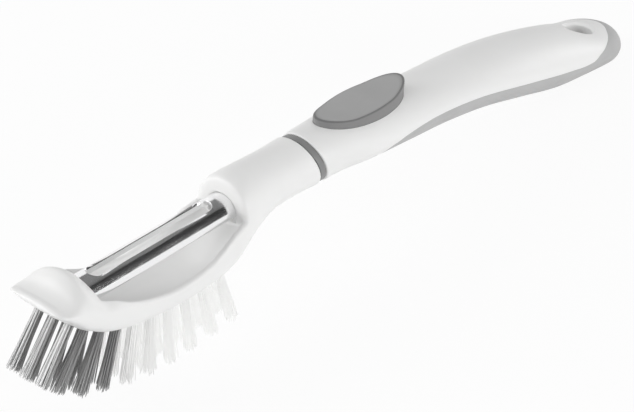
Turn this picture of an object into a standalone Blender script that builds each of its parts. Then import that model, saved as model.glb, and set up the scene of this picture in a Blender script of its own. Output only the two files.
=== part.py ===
"""Vegetable brush with a swivelling peeler blade, built piece by piece.

The brush is drawn in its own frame: X runs from the nose (-X) to the end of the handle (+X), Y across,
Z up, with the zero on the blade's swivel axis, halfway between the two rims that hold the blade.
An empty called stance then lays it down as it rests on a worktop, on its bristles and its handle's end.
"""
import math

import bmesh
import bpy
import numpy as np
from mathutils import Matrix, Vector

MM = 0.001

# Clearances and the overrun of every cutter
GAP = 0.3 * MM
OVERRUN = 3.0 * MM

# Peeler blade: a half round channel of sheet steel with a slot along its crown
BLADE_EXPOSED = 54.5 * MM
BLADE_COVERED = 2.2 * MM
BLADE_RADIUS = 5.1 * MM
BLADE_SHEET = 0.7 * MM
SLOT_WIDTH = 5.0 * MM
SLOT_FRONT_MARGIN = 3.5 * MM
SLOT_REAR_MARGIN = 5.4 * MM
EAR_RADIUS = 2.3 * MM
SWIVEL_DEG = 25.0

# Pivot pins, pressed into the nose and the hood
PIN_RADIUS = 0.9 * MM
PIN_SEAT = 2.2 * MM
PIN_CHAMFER = 0.2 * MM

# Head: nose, dish and neck
NOSE_LENGTH = 15.4 * MM
NECK_LENGTH = 31.3 * MM
HEAD_HALF_WIDTH = 11.2 * MM
HEAD_CROWN = 10.0 * MM
HEAD_KEEL = 14.6 * MM
DISH_WALL = 1.7 * MM
DISH_RIM_ROUND = 0.5 * MM
DISH_DEPTH = 3.4 * MM
RIM_DROP = 6.5 * MM

# Joint of neck and handle: a slanted ring on a round spigot
NECK_RADIUS = 8.4 * MM
NECK_HEIGHT = 1.2 * MM
RING_SLANT_DEG = 19.0
RING_WIDTH = 2.6 * MM
RING_INSET = 0.4 * MM
EDGE_CHAMFER = 0.5 * MM
SPIGOT_RADIUS = 4.2 * MM
SPIGOT_DROP = 1.8 * MM
SPIGOT_LENGTH = 15.0 * MM

# Handle
HANDLE_LENGTH = 149.1 * MM
HANDLE_HALF_WIDTH = 12.7 * MM
HANDLE_HALF_HEIGHT = 8.2 * MM
HANDLE_DROP = 22.0 * MM
HANDLE_END_ROUND = 13.5 * MM

# Soft grip on the underside, wrapped round the handle's end
GRIP_WALL = 1.6 * MM
GRIP_END_WALL = 4.6 * MM

# Thumb pad, an oval let into the handle, flat in the middle and rising towards both ends
PAD_HALF_LENGTH = 18.4 * MM
PAD_HALF_WIDTH = 7.0 * MM
PAD_FROM_RING = 25.8 * MM
PAD_TOP = 9.3 * MM
PAD_END_RISE = 1.8 * MM
PAD_THICKNESS = 4.6 * MM
PAD_ROUND = 0.5 * MM
PAD_TILT_DEG = 1.3

# Hanging hole
HOLE_RADIUS = 4.3 * MM
HOLE_RIM_RADIUS = 5.6 * MM
HOLE_RIM_DEPTH = 2.4 * MM
HOLE_FROM_END = 16.7 * MM

# Bristles: lateral rows of three tufts along the keel, grey in front and white behind
ROW_COUNT = 10
GREY_ROWS = 4
TUFT_SPACING = 5.3 * MM
FIRST_ROW_FROM_LIP = 7.0 * MM
LAST_ROW_FROM_LIP = 62.6 * MM
PLUG_RADIUS = 1.45 * MM
PLUG_DEPTH = 2.2 * MM
PLUG_PROUD = 0.3 * MM
TUFT_LENGTH_FRONT = 17.8 * MM
TUFT_LENGTH_REAR = 20.4 * MM
STRAND_RADIUS = 0.3 * MM
INNER_RING_RADIUS = 0.4 * MM
OUTER_RING_RADIUS = 1.05 * MM
INNER_STRANDS = 3
OUTER_STRANDS = 9
TUFT_SPREAD_SHARE = 1.55
RAGGED_SHARE = 0.06
FLOOR_TRIM = 0.5 * MM

# Facets
RING_POINT_COUNT = 30
ARC_COUNT = 14
ROUND_COUNT = 24
HOLE_SIDE_COUNT = 10
STRAND_SIDE_COUNT = 3
HANDLE_STATION_COUNT = 14
END_STATION_COUNT = 6

# Places along X that the pieces share
RIM_X = BLADE_EXPOSED / 2
LIP_X = -RIM_X - NOSE_LENGTH
RING_X = RIM_X + NECK_LENGTH
HEAD_LENGTH = RING_X - LIP_X
HANDLE_X = RING_X + RING_WIDTH
SPIGOT_HEIGHT = NECK_HEIGHT - SPIGOT_DROP
END_X = HANDLE_X + HANDLE_LENGTH
BLADE_HALF_LENGTH = RIM_X + BLADE_COVERED
RECESS_HALF_LENGTH = BLADE_HALF_LENGTH + GAP
RECESS_RADIUS = BLADE_RADIUS + GAP
STOP_DEPTH = BLADE_RADIUS * math.sin(math.radians(SWIVEL_DEG)) + GAP

# Head sections, front to back. Each row holds the place along the head as a share of HEAD_LENGTH,
# the half width as a share of HEAD_HALF_WIDTH, the height of the widest point and of the crown as
# shares of HEAD_CROWN, the keel as a share of HEAD_KEEL and the squareness of the top and underside.
HEAD_SHARES = (
    (0.0000, 0.68, 0.52, 0.555, -0.335, 2.0, 2.0),
    (0.0040, 0.77, 0.50, 0.595, -0.290, 2.0, 2.0),
    (0.0253, 0.92, 0.42, 0.615, -0.115, 2.0, 2.2),
    (0.0505, 0.98, 0.33, 0.710, 0.055, 2.0, 2.4),
    (0.0758, 0.99, 0.24, 0.920, 0.230, 1.9, 2.7),
    (0.1011, 1.00, 0.14, 1.030, 0.375, 1.8, 3.0),
    (0.1264, 1.00, 0.06, 0.870, 0.485, 1.6, 3.2),
    (0.1516, 1.00, -0.03, 0.580, 0.585, 1.45, 3.5),
    (0.2224, 1.01, -0.25, 0.560, 0.755, 1.8, 4.0),
    (0.3033, 1.01, -0.42, 0.600, 0.875, 2.0, 4.0),
    (0.3942, 1.01, -0.55, 0.600, 0.960, 2.0, 4.0),
    (0.4953, 1.00, -0.55, 0.600, 1.000, 2.0, 4.0),
    (0.5762, 0.97, -0.45, 0.600, 0.995, 2.0, 4.0),
    (0.6368, 0.92, -0.30, 0.700, 0.965, 2.0, 4.0),
    (0.6874, 0.86, -0.05, 0.930, 0.885, 2.0, 3.6),
    (0.7177, 0.82, 0.05, 1.010, 0.800, 2.0, 3.0),
    (0.7683, 0.77, 0.10, 1.020, 0.620, 2.0, 2.4),
    (0.8289, 0.72, 0.14, 1.000, 0.475, 2.0, 2.1),
    (0.8997, 0.72, 0.14, 0.970, 0.440, 2.0, 2.0),
)

# Dish between nose and hood: the place as a share of BLADE_EXPOSED behind the nose's rim, the rim's
# height as a share of RIM_DROP below the blade's axis, the bowl's depth as a share of DISH_DEPTH and
# the squareness of the bowl, which is narrow beside the nose.
DISH_SHARES = (
    (0.000, -0.49, 1.76, 1.05),
    (0.060, -0.22, 1.40, 1.20),
    (0.190, 0.36, 1.00, 1.70),
    (0.346, 0.80, 1.00, 2.00),
    (0.490, 1.00, 1.00, 2.00),
    (0.635, 0.95, 1.02, 2.00),
    (0.743, 0.80, 1.10, 2.00),
    (0.813, 0.58, 1.15, 2.00),
    (0.905, 0.26, 1.20, 2.00),
    (0.960, 0.14, 1.10, 2.00),
    (1.000, 0.04, 1.00, 2.00),
)

# Handle sections from the ring to the end: the place as a share of HANDLE_LENGTH, half width and
# half height as shares of theirs, and the drop of the centre line as a share of HANDLE_DROP.
HANDLE_SHARES = (
    (0.0000, 0.661, 1.020, -0.055),
    (0.0520, 0.720, 0.985, -0.055),
    (0.1215, 0.830, 0.960, -0.018),
    (0.2357, 0.866, 0.915, 0.055),
    (0.3647, 0.875, 0.915, 0.135),
    (0.4838, 0.930, 0.990, 0.230),
    (0.6129, 1.000, 1.095, 0.402),
    (0.7469, 0.992, 1.105, 0.630),
    (0.8908, 0.950, 0.800, 0.820),
    (1.0000, 0.880, 0.700, 0.890),
)

# Parting line of the grip: the place as a share of HANDLE_LENGTH and the height above the centre
# line as a share of HANDLE_HALF_HEIGHT. It starts under the keel and leaves through the crown.
PARTING_SHARES = (
    (0.1150, -1.60),
    (0.1400, -0.90),
    (0.1606, -0.48),
    (0.1968, -0.19),
    (0.2362, -0.02),
    (0.2900, 0.09),
    (0.3400, 0.11),
    (0.4400, 0.09),
    (0.5037, 0.04),
    (0.6340, 0.01),
    (0.7500, 0.02),
    (0.8114, 0.02),
    (0.8362, 0.08),
    (0.8620, 0.26),
    (0.8809, 0.35),
    (0.9007, 0.45),
    (0.9206, 0.54),
    (0.9404, 0.61),
    (0.9653, 0.63),
    (1.0000, 0.63),
)

# Forward lean of the tufts, row by row from the nose
TUFT_LEAN_DEG = (35.8, 33.5, 26.0, 18.0, 9.5, 3.5, -2.0, -6.5, -13.0, -18.0)

COLOURS = {
    "white_plastic": ((0.86, 0.86, 0.855, 1.0), 0.32, 0.0),
    "pad_grey": ((0.30, 0.30, 0.30, 1.0), 0.55, 0.0),
    "grip_grey": ((0.42, 0.42, 0.42, 1.0), 0.60, 0.0),
    "ring_grey": ((0.25, 0.25, 0.25, 1.0), 0.45, 0.0),
    "polished_steel": ((0.78, 0.78, 0.79, 1.0), 0.16, 1.0),
    "pin_steel": ((0.62, 0.62, 0.63, 1.0), 0.30, 1.0),
    "grey_bristle": ((0.17, 0.17, 0.17, 1.0), 0.45, 0.0),
    "white_bristle": ((0.84, 0.84, 0.83, 1.0), 0.38, 0.0),
}


def clear_scene():
    """Remove the objects and collections of the open scene."""
    for obj in list(bpy.data.objects):
        bpy.data.objects.remove(obj, do_unlink=True)
    for collection in list(bpy.data.collections):
        bpy.data.collections.remove(collection)


def make_collection(name):
    collection = bpy.data.collections.new(name)
    bpy.context.scene.collection.children.link(collection)
    return collection


def make_materials():
    """One Principled material for each finish of the brush."""
    materials = {}
    for name, (colour, roughness, metallic) in COLOURS.items():
        material = bpy.data.materials.new(name)
        material.use_nodes = True
        shader = material.node_tree.nodes["Principled BSDF"]
        shader.inputs["Base Color"].default_value = colour
        shader.inputs["Roughness"].default_value = roughness
        shader.inputs["Metallic"].default_value = metallic
        material.diffuse_color = colour
        materials[name] = material
    return materials


def smooth_curve(shares, column, at):
    """Value of one column of a table of shares at a place, on a curve that eases through its rows."""
    places = np.array([row[0] for row in shares])
    values = np.array([row[column] for row in shares])
    slopes = np.gradient(values, places)
    at = np.clip(at, places[0], places[-1])
    i = np.clip(np.searchsorted(places, at) - 1, 0, len(places) - 2)
    width = places[i + 1] - places[i]
    t = (at - places[i]) / width
    rise = values[i + 1] - values[i]
    return values[i] + t * t * (3 - 2 * t) * rise + t * (1 - t) * width * (
        (1 - t) * slopes[i] - t * slopes[i + 1]
    )


def stations(shares):
    """The places of a table of shares and the places halfway between them."""
    places = np.array([row[0] for row in shares])
    return np.sort(np.concatenate([places, (places[1:] + places[:-1]) / 2]))


def oval(half_width, top, middle, bottom, square_top=2.0, square_bottom=2.0, points=RING_POINT_COUNT):
    """Closed section in Y and Z: half a superellipse above its widest height and half below."""
    angle = np.linspace(0, 2 * math.pi, points, endpoint=False)
    cosine, sine = np.cos(angle), np.sin(angle)
    square = np.where(sine >= 0, square_top, square_bottom)
    y = half_width * np.sign(cosine) * np.abs(cosine) ** (2 / square)
    reach = np.where(sine >= 0, top - middle, middle - bottom)
    z = middle + reach * np.sign(sine) * np.abs(sine) ** (2 / square)
    return np.stack([y, z], axis=1)


def loft(name, rings, collection, material=None):
    """Closed solid through rings of equally many points, each ring an array of XYZ."""
    rings = [np.asarray(ring) for ring in rings]
    count = len(rings[0])
    vertices = np.concatenate(rings)
    faces = [tuple(range(count))]
    for r in range(len(rings) - 1):
        for k in range(count):
            a, b = r * count + k, r * count + (k + 1) % count
            faces.append((a, a + count, b + count, b))
    last = (len(rings) - 1) * count
    faces.append(tuple(last + k for k in reversed(range(count))))
    mesh = bpy.data.meshes.new(name)
    mesh.from_pydata(vertices.tolist(), [], faces)
    return finish_mesh(name, mesh, collection, material)


def finish_mesh(name, mesh, collection, material=None):
    """Turn the faces of a mesh outwards, shade it and put it in an object of its own."""
    work = bmesh.new()
    work.from_mesh(mesh)
    bmesh.ops.remove_doubles(work, verts=work.verts, dist=GAP / 100)
    bmesh.ops.recalc_face_normals(work, faces=work.faces)
    work.to_mesh(mesh)
    work.free()
    mesh.shade_smooth()
    mesh.set_sharp_from_angle(angle=math.radians(35))
    obj = bpy.data.objects.new(name, mesh)
    collection.objects.link(obj)
    if material is None:
        obj.hide_render = True
        obj.display_type = "WIRE"
    else:
        mesh.materials.append(material)
    return obj


def prism_x(name, outline, front, back, collection, material=None):
    """Prism along X of an outline given in Y and Z."""
    outline = np.asarray(outline)
    rings = [np.insert(outline, 0, x, axis=1) for x in (front, back)]
    return loft(name, rings, collection, material)


def prism_y(name, outline, half_width, collection):
    """Prism across Y of an outline given in X and Z."""
    outline = np.asarray(outline)
    rings = [np.insert(outline, 1, y, axis=1) for y in (-half_width, half_width)]
    return loft(name, rings, collection)


def prism_z(name, outline, bottom, top, collection, material=None):
    """Upright prism of an outline given in X and Y."""
    outline = np.asarray(outline)
    rings = [np.insert(outline, 2, z, axis=1) for z in (bottom, top)]
    return loft(name, rings, collection, material)


def rod(name, radius, start, end, sides, collection, material=None, end_radius=None):
    """Straight round rod or cone from one point to another."""
    start, end = Vector(start), Vector(end)
    run = end - start
    work = bmesh.new()
    bmesh.ops.create_cone(
        work, cap_ends=True, segments=sides, radius1=radius,
        radius2=radius if end_radius is None else end_radius, depth=run.length,
    )
    turn = Vector((0, 0, 1)).rotation_difference(run).to_matrix().to_4x4()
    bmesh.ops.transform(work, matrix=Matrix.Translation((start + end) / 2) @ turn, verts=work.verts)
    mesh = bpy.data.meshes.new(name)
    work.to_mesh(mesh)
    work.free()
    return finish_mesh(name, mesh, collection, material)


def boolean(target, cutter, operation):
    modifier = target.modifiers.new(f"{operation.lower()}_{cutter.name}", "BOOLEAN")
    modifier.operation = operation
    modifier.solver = "EXACT"
    modifier.object = cutter


def arc(radius, start_deg, end_deg, points):
    angle = np.radians(np.linspace(start_deg, end_deg, points))
    return np.stack([radius * np.cos(angle), radius * np.sin(angle)], axis=1)


def oval_outline(centre_x, half_length, half_width):
    """Flat oval in X and Y."""
    angle = np.linspace(0, 2 * math.pi, 2 * ARC_COUNT, endpoint=False)
    return np.stack([centre_x + half_length * np.cos(angle), half_width * np.sin(angle)], axis=1)


# Head

def head_section(place):
    """Half width, widest height, crown, keel and both squarenesses of the head at a share of its length."""
    return (
        HEAD_HALF_WIDTH * smooth_curve(HEAD_SHARES, 1, place),
        HEAD_CROWN * smooth_curve(HEAD_SHARES, 2, place),
        HEAD_CROWN * smooth_curve(HEAD_SHARES, 3, place),
        -HEAD_KEEL * smooth_curve(HEAD_SHARES, 4, place),
        smooth_curve(HEAD_SHARES, 5, place),
        smooth_curve(HEAD_SHARES, 6, place),
    )


def keel_height(x, y):
    """Height of the head's underside at a place under the tufts."""
    half_width, middle, _, keel, _, square = head_section((x - LIP_X) / HEAD_LENGTH)
    return middle - (middle - keel) * (1 - (abs(y) / half_width) ** square) ** (1 / square)


def slanted_ring(section, x):
    """Section laid in the slanted plane of the joint, which passes through x at the neck's height."""
    lean = math.tan(math.radians(RING_SLANT_DEG))
    places = x - lean * (section[:, 1] - NECK_HEIGHT)
    return np.column_stack([places, section])


def neck_section(radius):
    return oval(radius, NECK_HEIGHT + radius, NECK_HEIGHT, NECK_HEIGHT - radius)


def build_head(parts, cutters, material):
    rings = []
    for place in stations(HEAD_SHARES):
        half_width, middle, crown, keel, square_top, square_bottom = head_section(place)
        section = oval(half_width, crown, middle, keel, square_top, square_bottom)
        rings.append(np.insert(section, 0, LIP_X + place * HEAD_LENGTH, axis=1))
    rings.append(slanted_ring(neck_section(NECK_RADIUS), RING_X - EDGE_CHAMFER))
    rings.append(slanted_ring(neck_section(NECK_RADIUS - EDGE_CHAMFER), RING_X))
    head = loft("head_frame", rings, parts, material)

    rings = []
    for place in stations(DISH_SHARES):
        rim = -RIM_DROP * smooth_curve(DISH_SHARES, 1, place)
        depth = DISH_DEPTH * smooth_curve(DISH_SHARES, 2, place)
        half_width = head_section((place * BLADE_EXPOSED - RIM_X - LIP_X) / HEAD_LENGTH)[0]
        square = smooth_curve(DISH_SHARES, 3, place)
        bowl = arc(1.0, 180, 360, ARC_COUNT)
        bowl = np.sign(bowl) * np.abs(bowl) ** (2 / square) * (half_width - DISH_WALL, depth) + (0, rim)
        reach = half_width + OVERRUN
        above = HEAD_CROWN + OVERRUN
        outer = half_width - DISH_RIM_ROUND
        lip = rim - DISH_RIM_ROUND - OVERRUN
        outline = np.concatenate([
            [(-reach, above), (-reach, lip), (-outer, rim)], bowl,
            [(outer, rim), (reach, lip), (reach, above)],
        ])
        rings.append(np.insert(outline, 0, place * BLADE_EXPOSED - RIM_X, axis=1))
    boolean(head, loft("cut_dish", rings, cutters), "DIFFERENCE")

    window = np.concatenate([
        arc(RECESS_RADIUS, 0, 180, ARC_COUNT), [(-RECESS_RADIUS, -STOP_DEPTH), (RECESS_RADIUS, -STOP_DEPTH)],
    ])
    recess = prism_x("cut_blade_recess", window, -RECESS_HALF_LENGTH, RECESS_HALF_LENGTH, cutters)
    boolean(head, recess, "DIFFERENCE")
    pin_end = RECESS_HALF_LENGTH + PIN_SEAT + GAP
    bore = rod("cut_pin_bore", PIN_RADIUS + GAP, (-pin_end, 0, 0), (pin_end, 0, 0), HOLE_SIDE_COUNT, cutters)
    boolean(head, bore, "DIFFERENCE")
    spigot = rod(
        "add_spigot", SPIGOT_RADIUS, (RING_X - OVERRUN, 0, SPIGOT_HEIGHT),
        (RING_X + SPIGOT_LENGTH, 0, SPIGOT_HEIGHT), ROUND_COUNT, cutters,
    )
    boolean(head, spigot, "UNION")
    for row in range(ROW_COUNT):
        for side in (-1, 0, 1):
            root, along = tuft_axis(row, side)
            hole = rod(
                f"cut_tuft_{row}_{side + 1}", PLUG_RADIUS + GAP, root - along * (PLUG_DEPTH + GAP),
                root + along * OVERRUN, HOLE_SIDE_COUNT, cutters,
            )
            boolean(head, hole, "DIFFERENCE")
    return head


# Peeler blade and its pins

def build_blade(parts, cutters, material):
    closed = np.concatenate([arc(BLADE_RADIUS, 0, 180, ARC_COUNT), arc(EAR_RADIUS, 180, 360, ARC_COUNT)])
    blade = prism_x("peeler_blade", closed, -BLADE_HALF_LENGTH, BLADE_HALF_LENGTH, parts, material)
    inside = BLADE_RADIUS - BLADE_SHEET
    below = -EAR_RADIUS - OVERRUN
    hollow = np.concatenate([arc(inside, 0, 180, ARC_COUNT), [(-inside, below), (inside, below)]])
    plates = BLADE_HALF_LENGTH - BLADE_SHEET
    boolean(blade, prism_x("cut_channel", hollow, -plates, plates, cutters), "DIFFERENCE")
    bore = rod(
        "cut_ear_bores", PIN_RADIUS + GAP, (-BLADE_HALF_LENGTH - OVERRUN, 0, 0),
        (BLADE_HALF_LENGTH + OVERRUN, 0, 0), HOLE_SIDE_COUNT, cutters,
    )
    boolean(blade, bore, "DIFFERENCE")

    front = -RIM_X + SLOT_FRONT_MARGIN + SLOT_WIDTH / 2
    back = RIM_X - SLOT_REAR_MARGIN - SLOT_WIDTH / 2
    slot = np.concatenate([
        arc(SLOT_WIDTH / 2, 90, 270, ARC_COUNT) + (front, 0),
        arc(SLOT_WIDTH / 2, -90, 90, ARC_COUNT) + (back, 0),
    ])
    boolean(blade, prism_z("cut_slot", slot, EAR_RADIUS, BLADE_RADIUS + OVERRUN, cutters), "DIFFERENCE")
    return blade


def build_pin(name, side, parts, material):
    outer_end = side * (RECESS_HALF_LENGTH + PIN_SEAT)
    inner_end = side * (BLADE_HALF_LENGTH - BLADE_SHEET - 2 * GAP)
    pin = rod(name, PIN_RADIUS, (outer_end, 0, 0), (inner_end, 0, 0), HOLE_SIDE_COUNT, parts, material)
    bevel = pin.modifiers.new("chamfer", "BEVEL")
    bevel.width = PIN_CHAMFER
    bevel.segments = 1
    bevel.limit_method = "ANGLE"
    return pin


# Collar ring

def build_ring(parts, cutters, material):
    sides = (RING_X + GAP, RING_X + RING_WIDTH - GAP)
    rings = [slanted_ring(neck_section(NECK_RADIUS - RING_INSET), x) for x in sides]
    ring = loft("collar_ring", rings, parts, material)
    bore = rod(
        "cut_ring_bore", SPIGOT_RADIUS + GAP, (RING_X - OVERRUN, 0, SPIGOT_HEIGHT),
        (HANDLE_X + OVERRUN, 0, SPIGOT_HEIGHT), ROUND_COUNT, cutters,
    )
    boolean(ring, bore, "DIFFERENCE")
    return ring


# Handle, grip and pad

def handle_centre(place):
    return -HANDLE_DROP * smooth_curve(HANDLE_SHARES, 3, place)


def handle_section(place, inset=0.0, end_inset=0.0):
    """Half width, half height and centre height of the handle, less an inset, at a share of its length."""
    half_width = HANDLE_HALF_WIDTH * smooth_curve(HANDLE_SHARES, 1, place) - inset
    half_height = HANDLE_HALF_HEIGHT * smooth_curve(HANDLE_SHARES, 2, place) - inset
    left = HANDLE_LENGTH - end_inset - place * HANDLE_LENGTH
    reach = np.clip(1 - left / HANDLE_END_ROUND, 0, 1)
    rounding = math.sqrt(max(1 - reach * reach, 0))
    return half_width * rounding, half_height * rounding ** 0.75, handle_centre(place)


def handle_places(end_inset):
    """Stations along the handle, closer together where its end rounds off."""
    end = 1 - end_inset / HANDLE_LENGTH
    bend = end - HANDLE_END_ROUND / HANDLE_LENGTH
    straight = np.linspace(HANDLE_SHARES[1][0], bend, HANDLE_STATION_COUNT)
    angle = np.linspace(0, math.pi / 2, END_STATION_COUNT + 2)[1:-1]
    return np.concatenate([straight, bend + (end - bend) * np.sin(angle), [end - GAP / HANDLE_LENGTH / 4]])


def handle_body(name, collection, material=None):
    rings = [
        slanted_ring(neck_section(NECK_RADIUS - EDGE_CHAMFER), HANDLE_X),
        slanted_ring(neck_section(NECK_RADIUS), HANDLE_X + EDGE_CHAMFER),
    ]
    for place in handle_places(0.0):
        half_width, half_height, centre = handle_section(place)
        section = oval(half_width, centre + half_height, centre, centre - half_height)
        rings.append(np.insert(section, 0, HANDLE_X + place * HANDLE_LENGTH, axis=1))
    return loft(name, rings, collection, material)


def core_cutter(name, gap, cutters):
    """Everything that stays hard plastic: the core inside the grip and all above the parting line."""
    wall = GRIP_WALL - gap
    end_wall = GRIP_END_WALL - gap
    rings = []
    for place in handle_places(end_wall):
        half_width, half_height, centre = handle_section(place, wall, end_wall)
        below = arc(1.0, 180, 360, RING_POINT_COUNT // 2) * (half_width, half_height) + (0, centre)
        above = centre + HANDLE_HALF_HEIGHT + OVERRUN
        outline = np.concatenate([below, [(half_width, above), (-half_width, above)]])
        rings.append(np.insert(outline, 0, HANDLE_X + place * HANDLE_LENGTH, axis=1))
    core = loft(name, rings, cutters)
    line = []
    for place in stations(PARTING_SHARES):
        height = handle_centre(place) + HANDLE_HALF_HEIGHT * smooth_curve(PARTING_SHARES, 1, place)
        line.append((HANDLE_X + place * HANDLE_LENGTH, height - gap))
    above = HANDLE_HALF_HEIGHT + HANDLE_HALF_WIDTH
    start = HANDLE_X - NECK_RADIUS
    outline = [(start, above), (start, line[0][1])] + line + [(line[-1][0], above)]
    upper = prism_y(f"{name}_upper", outline, HANDLE_HALF_WIDTH + OVERRUN, cutters)
    boolean(core, upper, "UNION")
    return core


def hole_cutter(name, gap, cutters):
    """Bore of the hanging hole along Z with a wide chamfer at its upper rim."""
    x = END_X - HOLE_FROM_END
    place = 1 - HOLE_FROM_END / HANDLE_LENGTH
    _, half_height, centre = handle_section(place)
    crown = centre + half_height
    radius = HOLE_RADIUS + gap
    bore = rod(
        name, radius, (x, 0, centre - half_height - 2 * OVERRUN), (x, 0, crown + OVERRUN), ROUND_COUNT, cutters,
    )
    slope = (HOLE_RIM_RADIUS - HOLE_RADIUS) / HOLE_RIM_DEPTH
    chamfer = rod(
        f"{name}_chamfer", radius, (x, 0, crown - HOLE_RIM_DEPTH), (x, 0, crown + OVERRUN), ROUND_COUNT, cutters,
        end_radius=radius + slope * (HOLE_RIM_DEPTH + OVERRUN),
    )
    boolean(bore, chamfer, "UNION")
    return bore


def build_handle(parts, cutters, materials):
    shell = handle_body("handle_shell", parts, materials["white_plastic"])
    boolean(shell, core_cutter("keep_core", 0.0, cutters), "INTERSECT")
    grip = handle_body("soft_grip", parts, materials["grip_grey"])
    boolean(grip, core_cutter("cut_core", GAP, cutters), "DIFFERENCE")
    hole = hole_cutter("cut_hanging_hole", 0.0, cutters)
    boolean(shell, hole, "DIFFERENCE")
    boolean(grip, hole, "DIFFERENCE")
    socket = rod(
        "cut_socket", SPIGOT_RADIUS + GAP, (RING_X, 0, SPIGOT_HEIGHT),
        (RING_X + SPIGOT_LENGTH + GAP, 0, SPIGOT_HEIGHT), ROUND_COUNT, cutters,
    )
    boolean(shell, socket, "DIFFERENCE")

    pad = build_pad("thumb_pad", 0.0, parts, materials["pad_grey"])
    boolean(shell, build_pad("cut_pad_pocket", GAP, cutters), "DIFFERENCE")
    return [shell, grip, pad]


def build_pad(name, gap, collection, material=None):
    """Thumb pad in its place, or the pocket for it where a gap is given."""
    outline = oval_outline(0, 1.0, 1.0)
    edge = 1 - PAD_ROUND / PAD_HALF_WIDTH
    if material is None:
        levels = [(1.0, 1.0, -PAD_THICKNESS - gap), (1.0, 1.0, OVERRUN)]
    else:
        levels = [
            (1.0, 1.0, -PAD_THICKNESS), (1.0, 1.0, -PAD_ROUND), (edge, edge, 0.0), (0.7, edge, 0.0), (0.4, 0.9, 0.0),
        ]
    rings = []
    for index, (along, across, height) in enumerate(levels):
        ring = outline * (along, across)
        rise = np.clip((np.abs(ring[:, 0]) - 0.4) / (1 - 0.4), 0, 1) ** 1.5 * PAD_END_RISE * (index > 0)
        rings.append(np.column_stack([ring * (PAD_HALF_LENGTH + gap, PAD_HALF_WIDTH + gap), height + rise]))
    pad = loft(name, rings, collection, material)
    pad.location = (RING_X + PAD_FROM_RING, 0, PAD_TOP)
    pad.rotation_euler = (0, math.radians(PAD_TILT_DEG), 0)
    return pad


# Bristles

def row_x(row):
    """Place of a row, spaced evenly along the curve of the keel."""
    first, last = LIP_X + FIRST_ROW_FROM_LIP, LIP_X + LAST_ROW_FROM_LIP
    x = np.linspace(first, last, 200)
    z = np.array([keel_height(at, 0) for at in x])
    run = np.concatenate([[0], np.cumsum(np.hypot(np.diff(x), np.diff(z)))])
    return float(np.interp(run[-1] * row / (ROW_COUNT - 1), run, x))


def tuft_axis(row, side):
    """Root of a tuft on the head's underside and the direction in which its bristles point."""
    x, y = row_x(row), side * TUFT_SPACING
    lean = math.radians(TUFT_LEAN_DEG[row])
    return Vector((x, y, keel_height(x, y))), Vector((-math.sin(lean), 0, -math.cos(lean)))


def tuft_length(row):
    share = math.sin(math.pi / 2 * min(row / (ROW_COUNT - 3), 1))
    return TUFT_LENGTH_FRONT + (TUFT_LENGTH_REAR - TUFT_LENGTH_FRONT) * share


def build_tuft(row, side, parts, cutters, material):
    """A bundle of straight three sided strands that fan out of a round plug."""
    root, along = tuft_axis(row, side)
    across = Vector((0, 1, 0))
    forward = along.cross(across)
    place = ("left", "middle", "right")[1 - side]
    colour = "grey" if row < GREY_ROWS else "white"
    name = f"{colour}_tuft_{row + 1:02d}_{place}"
    tuft = rod(
        name, PLUG_RADIUS, root - along * PLUG_DEPTH, root + along * PLUG_PROUD, HOLE_SIDE_COUNT, parts,
        material,
    )
    work = bmesh.new()
    starts = [(INNER_RING_RADIUS, k / INNER_STRANDS) for k in range(INNER_STRANDS)]
    starts += [(OUTER_RING_RADIUS, (k + 0.5) / OUTER_STRANDS) for k in range(OUTER_STRANDS)]
    for index, (radius, turn) in enumerate(starts):
        angle = 2 * math.pi * turn
        offset = (across * math.cos(angle) + forward * math.sin(angle)) * radius
        ragged = RAGGED_SHARE * ((index * 7 + row * 3 + side) % 5) / 4
        start = root + offset - along * PLUG_DEPTH / 2
        end = root + offset * TUFT_SPREAD_SHARE + along * tuft_length(row) * (1 - ragged)
        run = end - start
        turned = Vector((0, 0, 1)).rotation_difference(run).to_matrix().to_4x4()
        bmesh.ops.create_cone(
            work, cap_ends=True, segments=STRAND_SIDE_COUNT, radius1=STRAND_RADIUS, radius2=STRAND_RADIUS,
            depth=run.length, matrix=Matrix.Translation((start + end) / 2) @ turned,
        )
    mesh = bpy.data.meshes.new(f"strands_{name}")
    work.to_mesh(mesh)
    work.free()
    strands = finish_mesh(f"strands_{name}", mesh, cutters)
    boolean(tuft, strands, "UNION")
    return tuft


# Resting place

def resting_line():
    """Slope and a point of the line on which bristle tips and handle touch the worktop."""
    tips = []
    for row in range(ROW_COUNT):
        root, along = tuft_axis(row, 0)
        tip = root + along * tuft_length(row)
        tips.append((tip.x, tip.z + FLOOR_TRIM))
    keels = []
    for place in handle_places(0.0):
        _, half_height, centre = handle_section(place)
        keels.append((HANDLE_X + place * HANDLE_LENGTH, centre - half_height))
    tips, keels = np.array(tips), np.array(keels)
    rise = keels[None, :, 1] - tips[:, None, 1]
    run = keels[None, :, 0] - tips[:, None, 0]
    slopes = rise / run
    handle = np.argmin(slopes.max(axis=0))
    return float(slopes[:, handle].max()), keels[handle]


def lay_down(objects):
    """Parent everything to the stance empty and lay the brush on the worktop, centred over the origin."""
    slope, touch = resting_line()
    pitch = math.atan(slope)
    turn = Matrix.Rotation(pitch, 4, "Y")
    outermost = [obj for obj in objects if obj.name.startswith(("strands", "soft_grip"))]
    reach = [(turn @ vertex.co).x for obj in outermost for vertex in obj.data.vertices]
    ground = (turn @ Vector((touch[0], 0, touch[1]))).z
    stance = bpy.data.objects.new("stance", None)
    bpy.context.scene.collection.objects.link(stance)
    stance.rotation_euler = (0, pitch, 0)
    stance.location = (-(min(reach) + max(reach)) / 2, 0, -ground)
    for obj in objects:
        obj.parent = stance
    return stance


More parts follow.
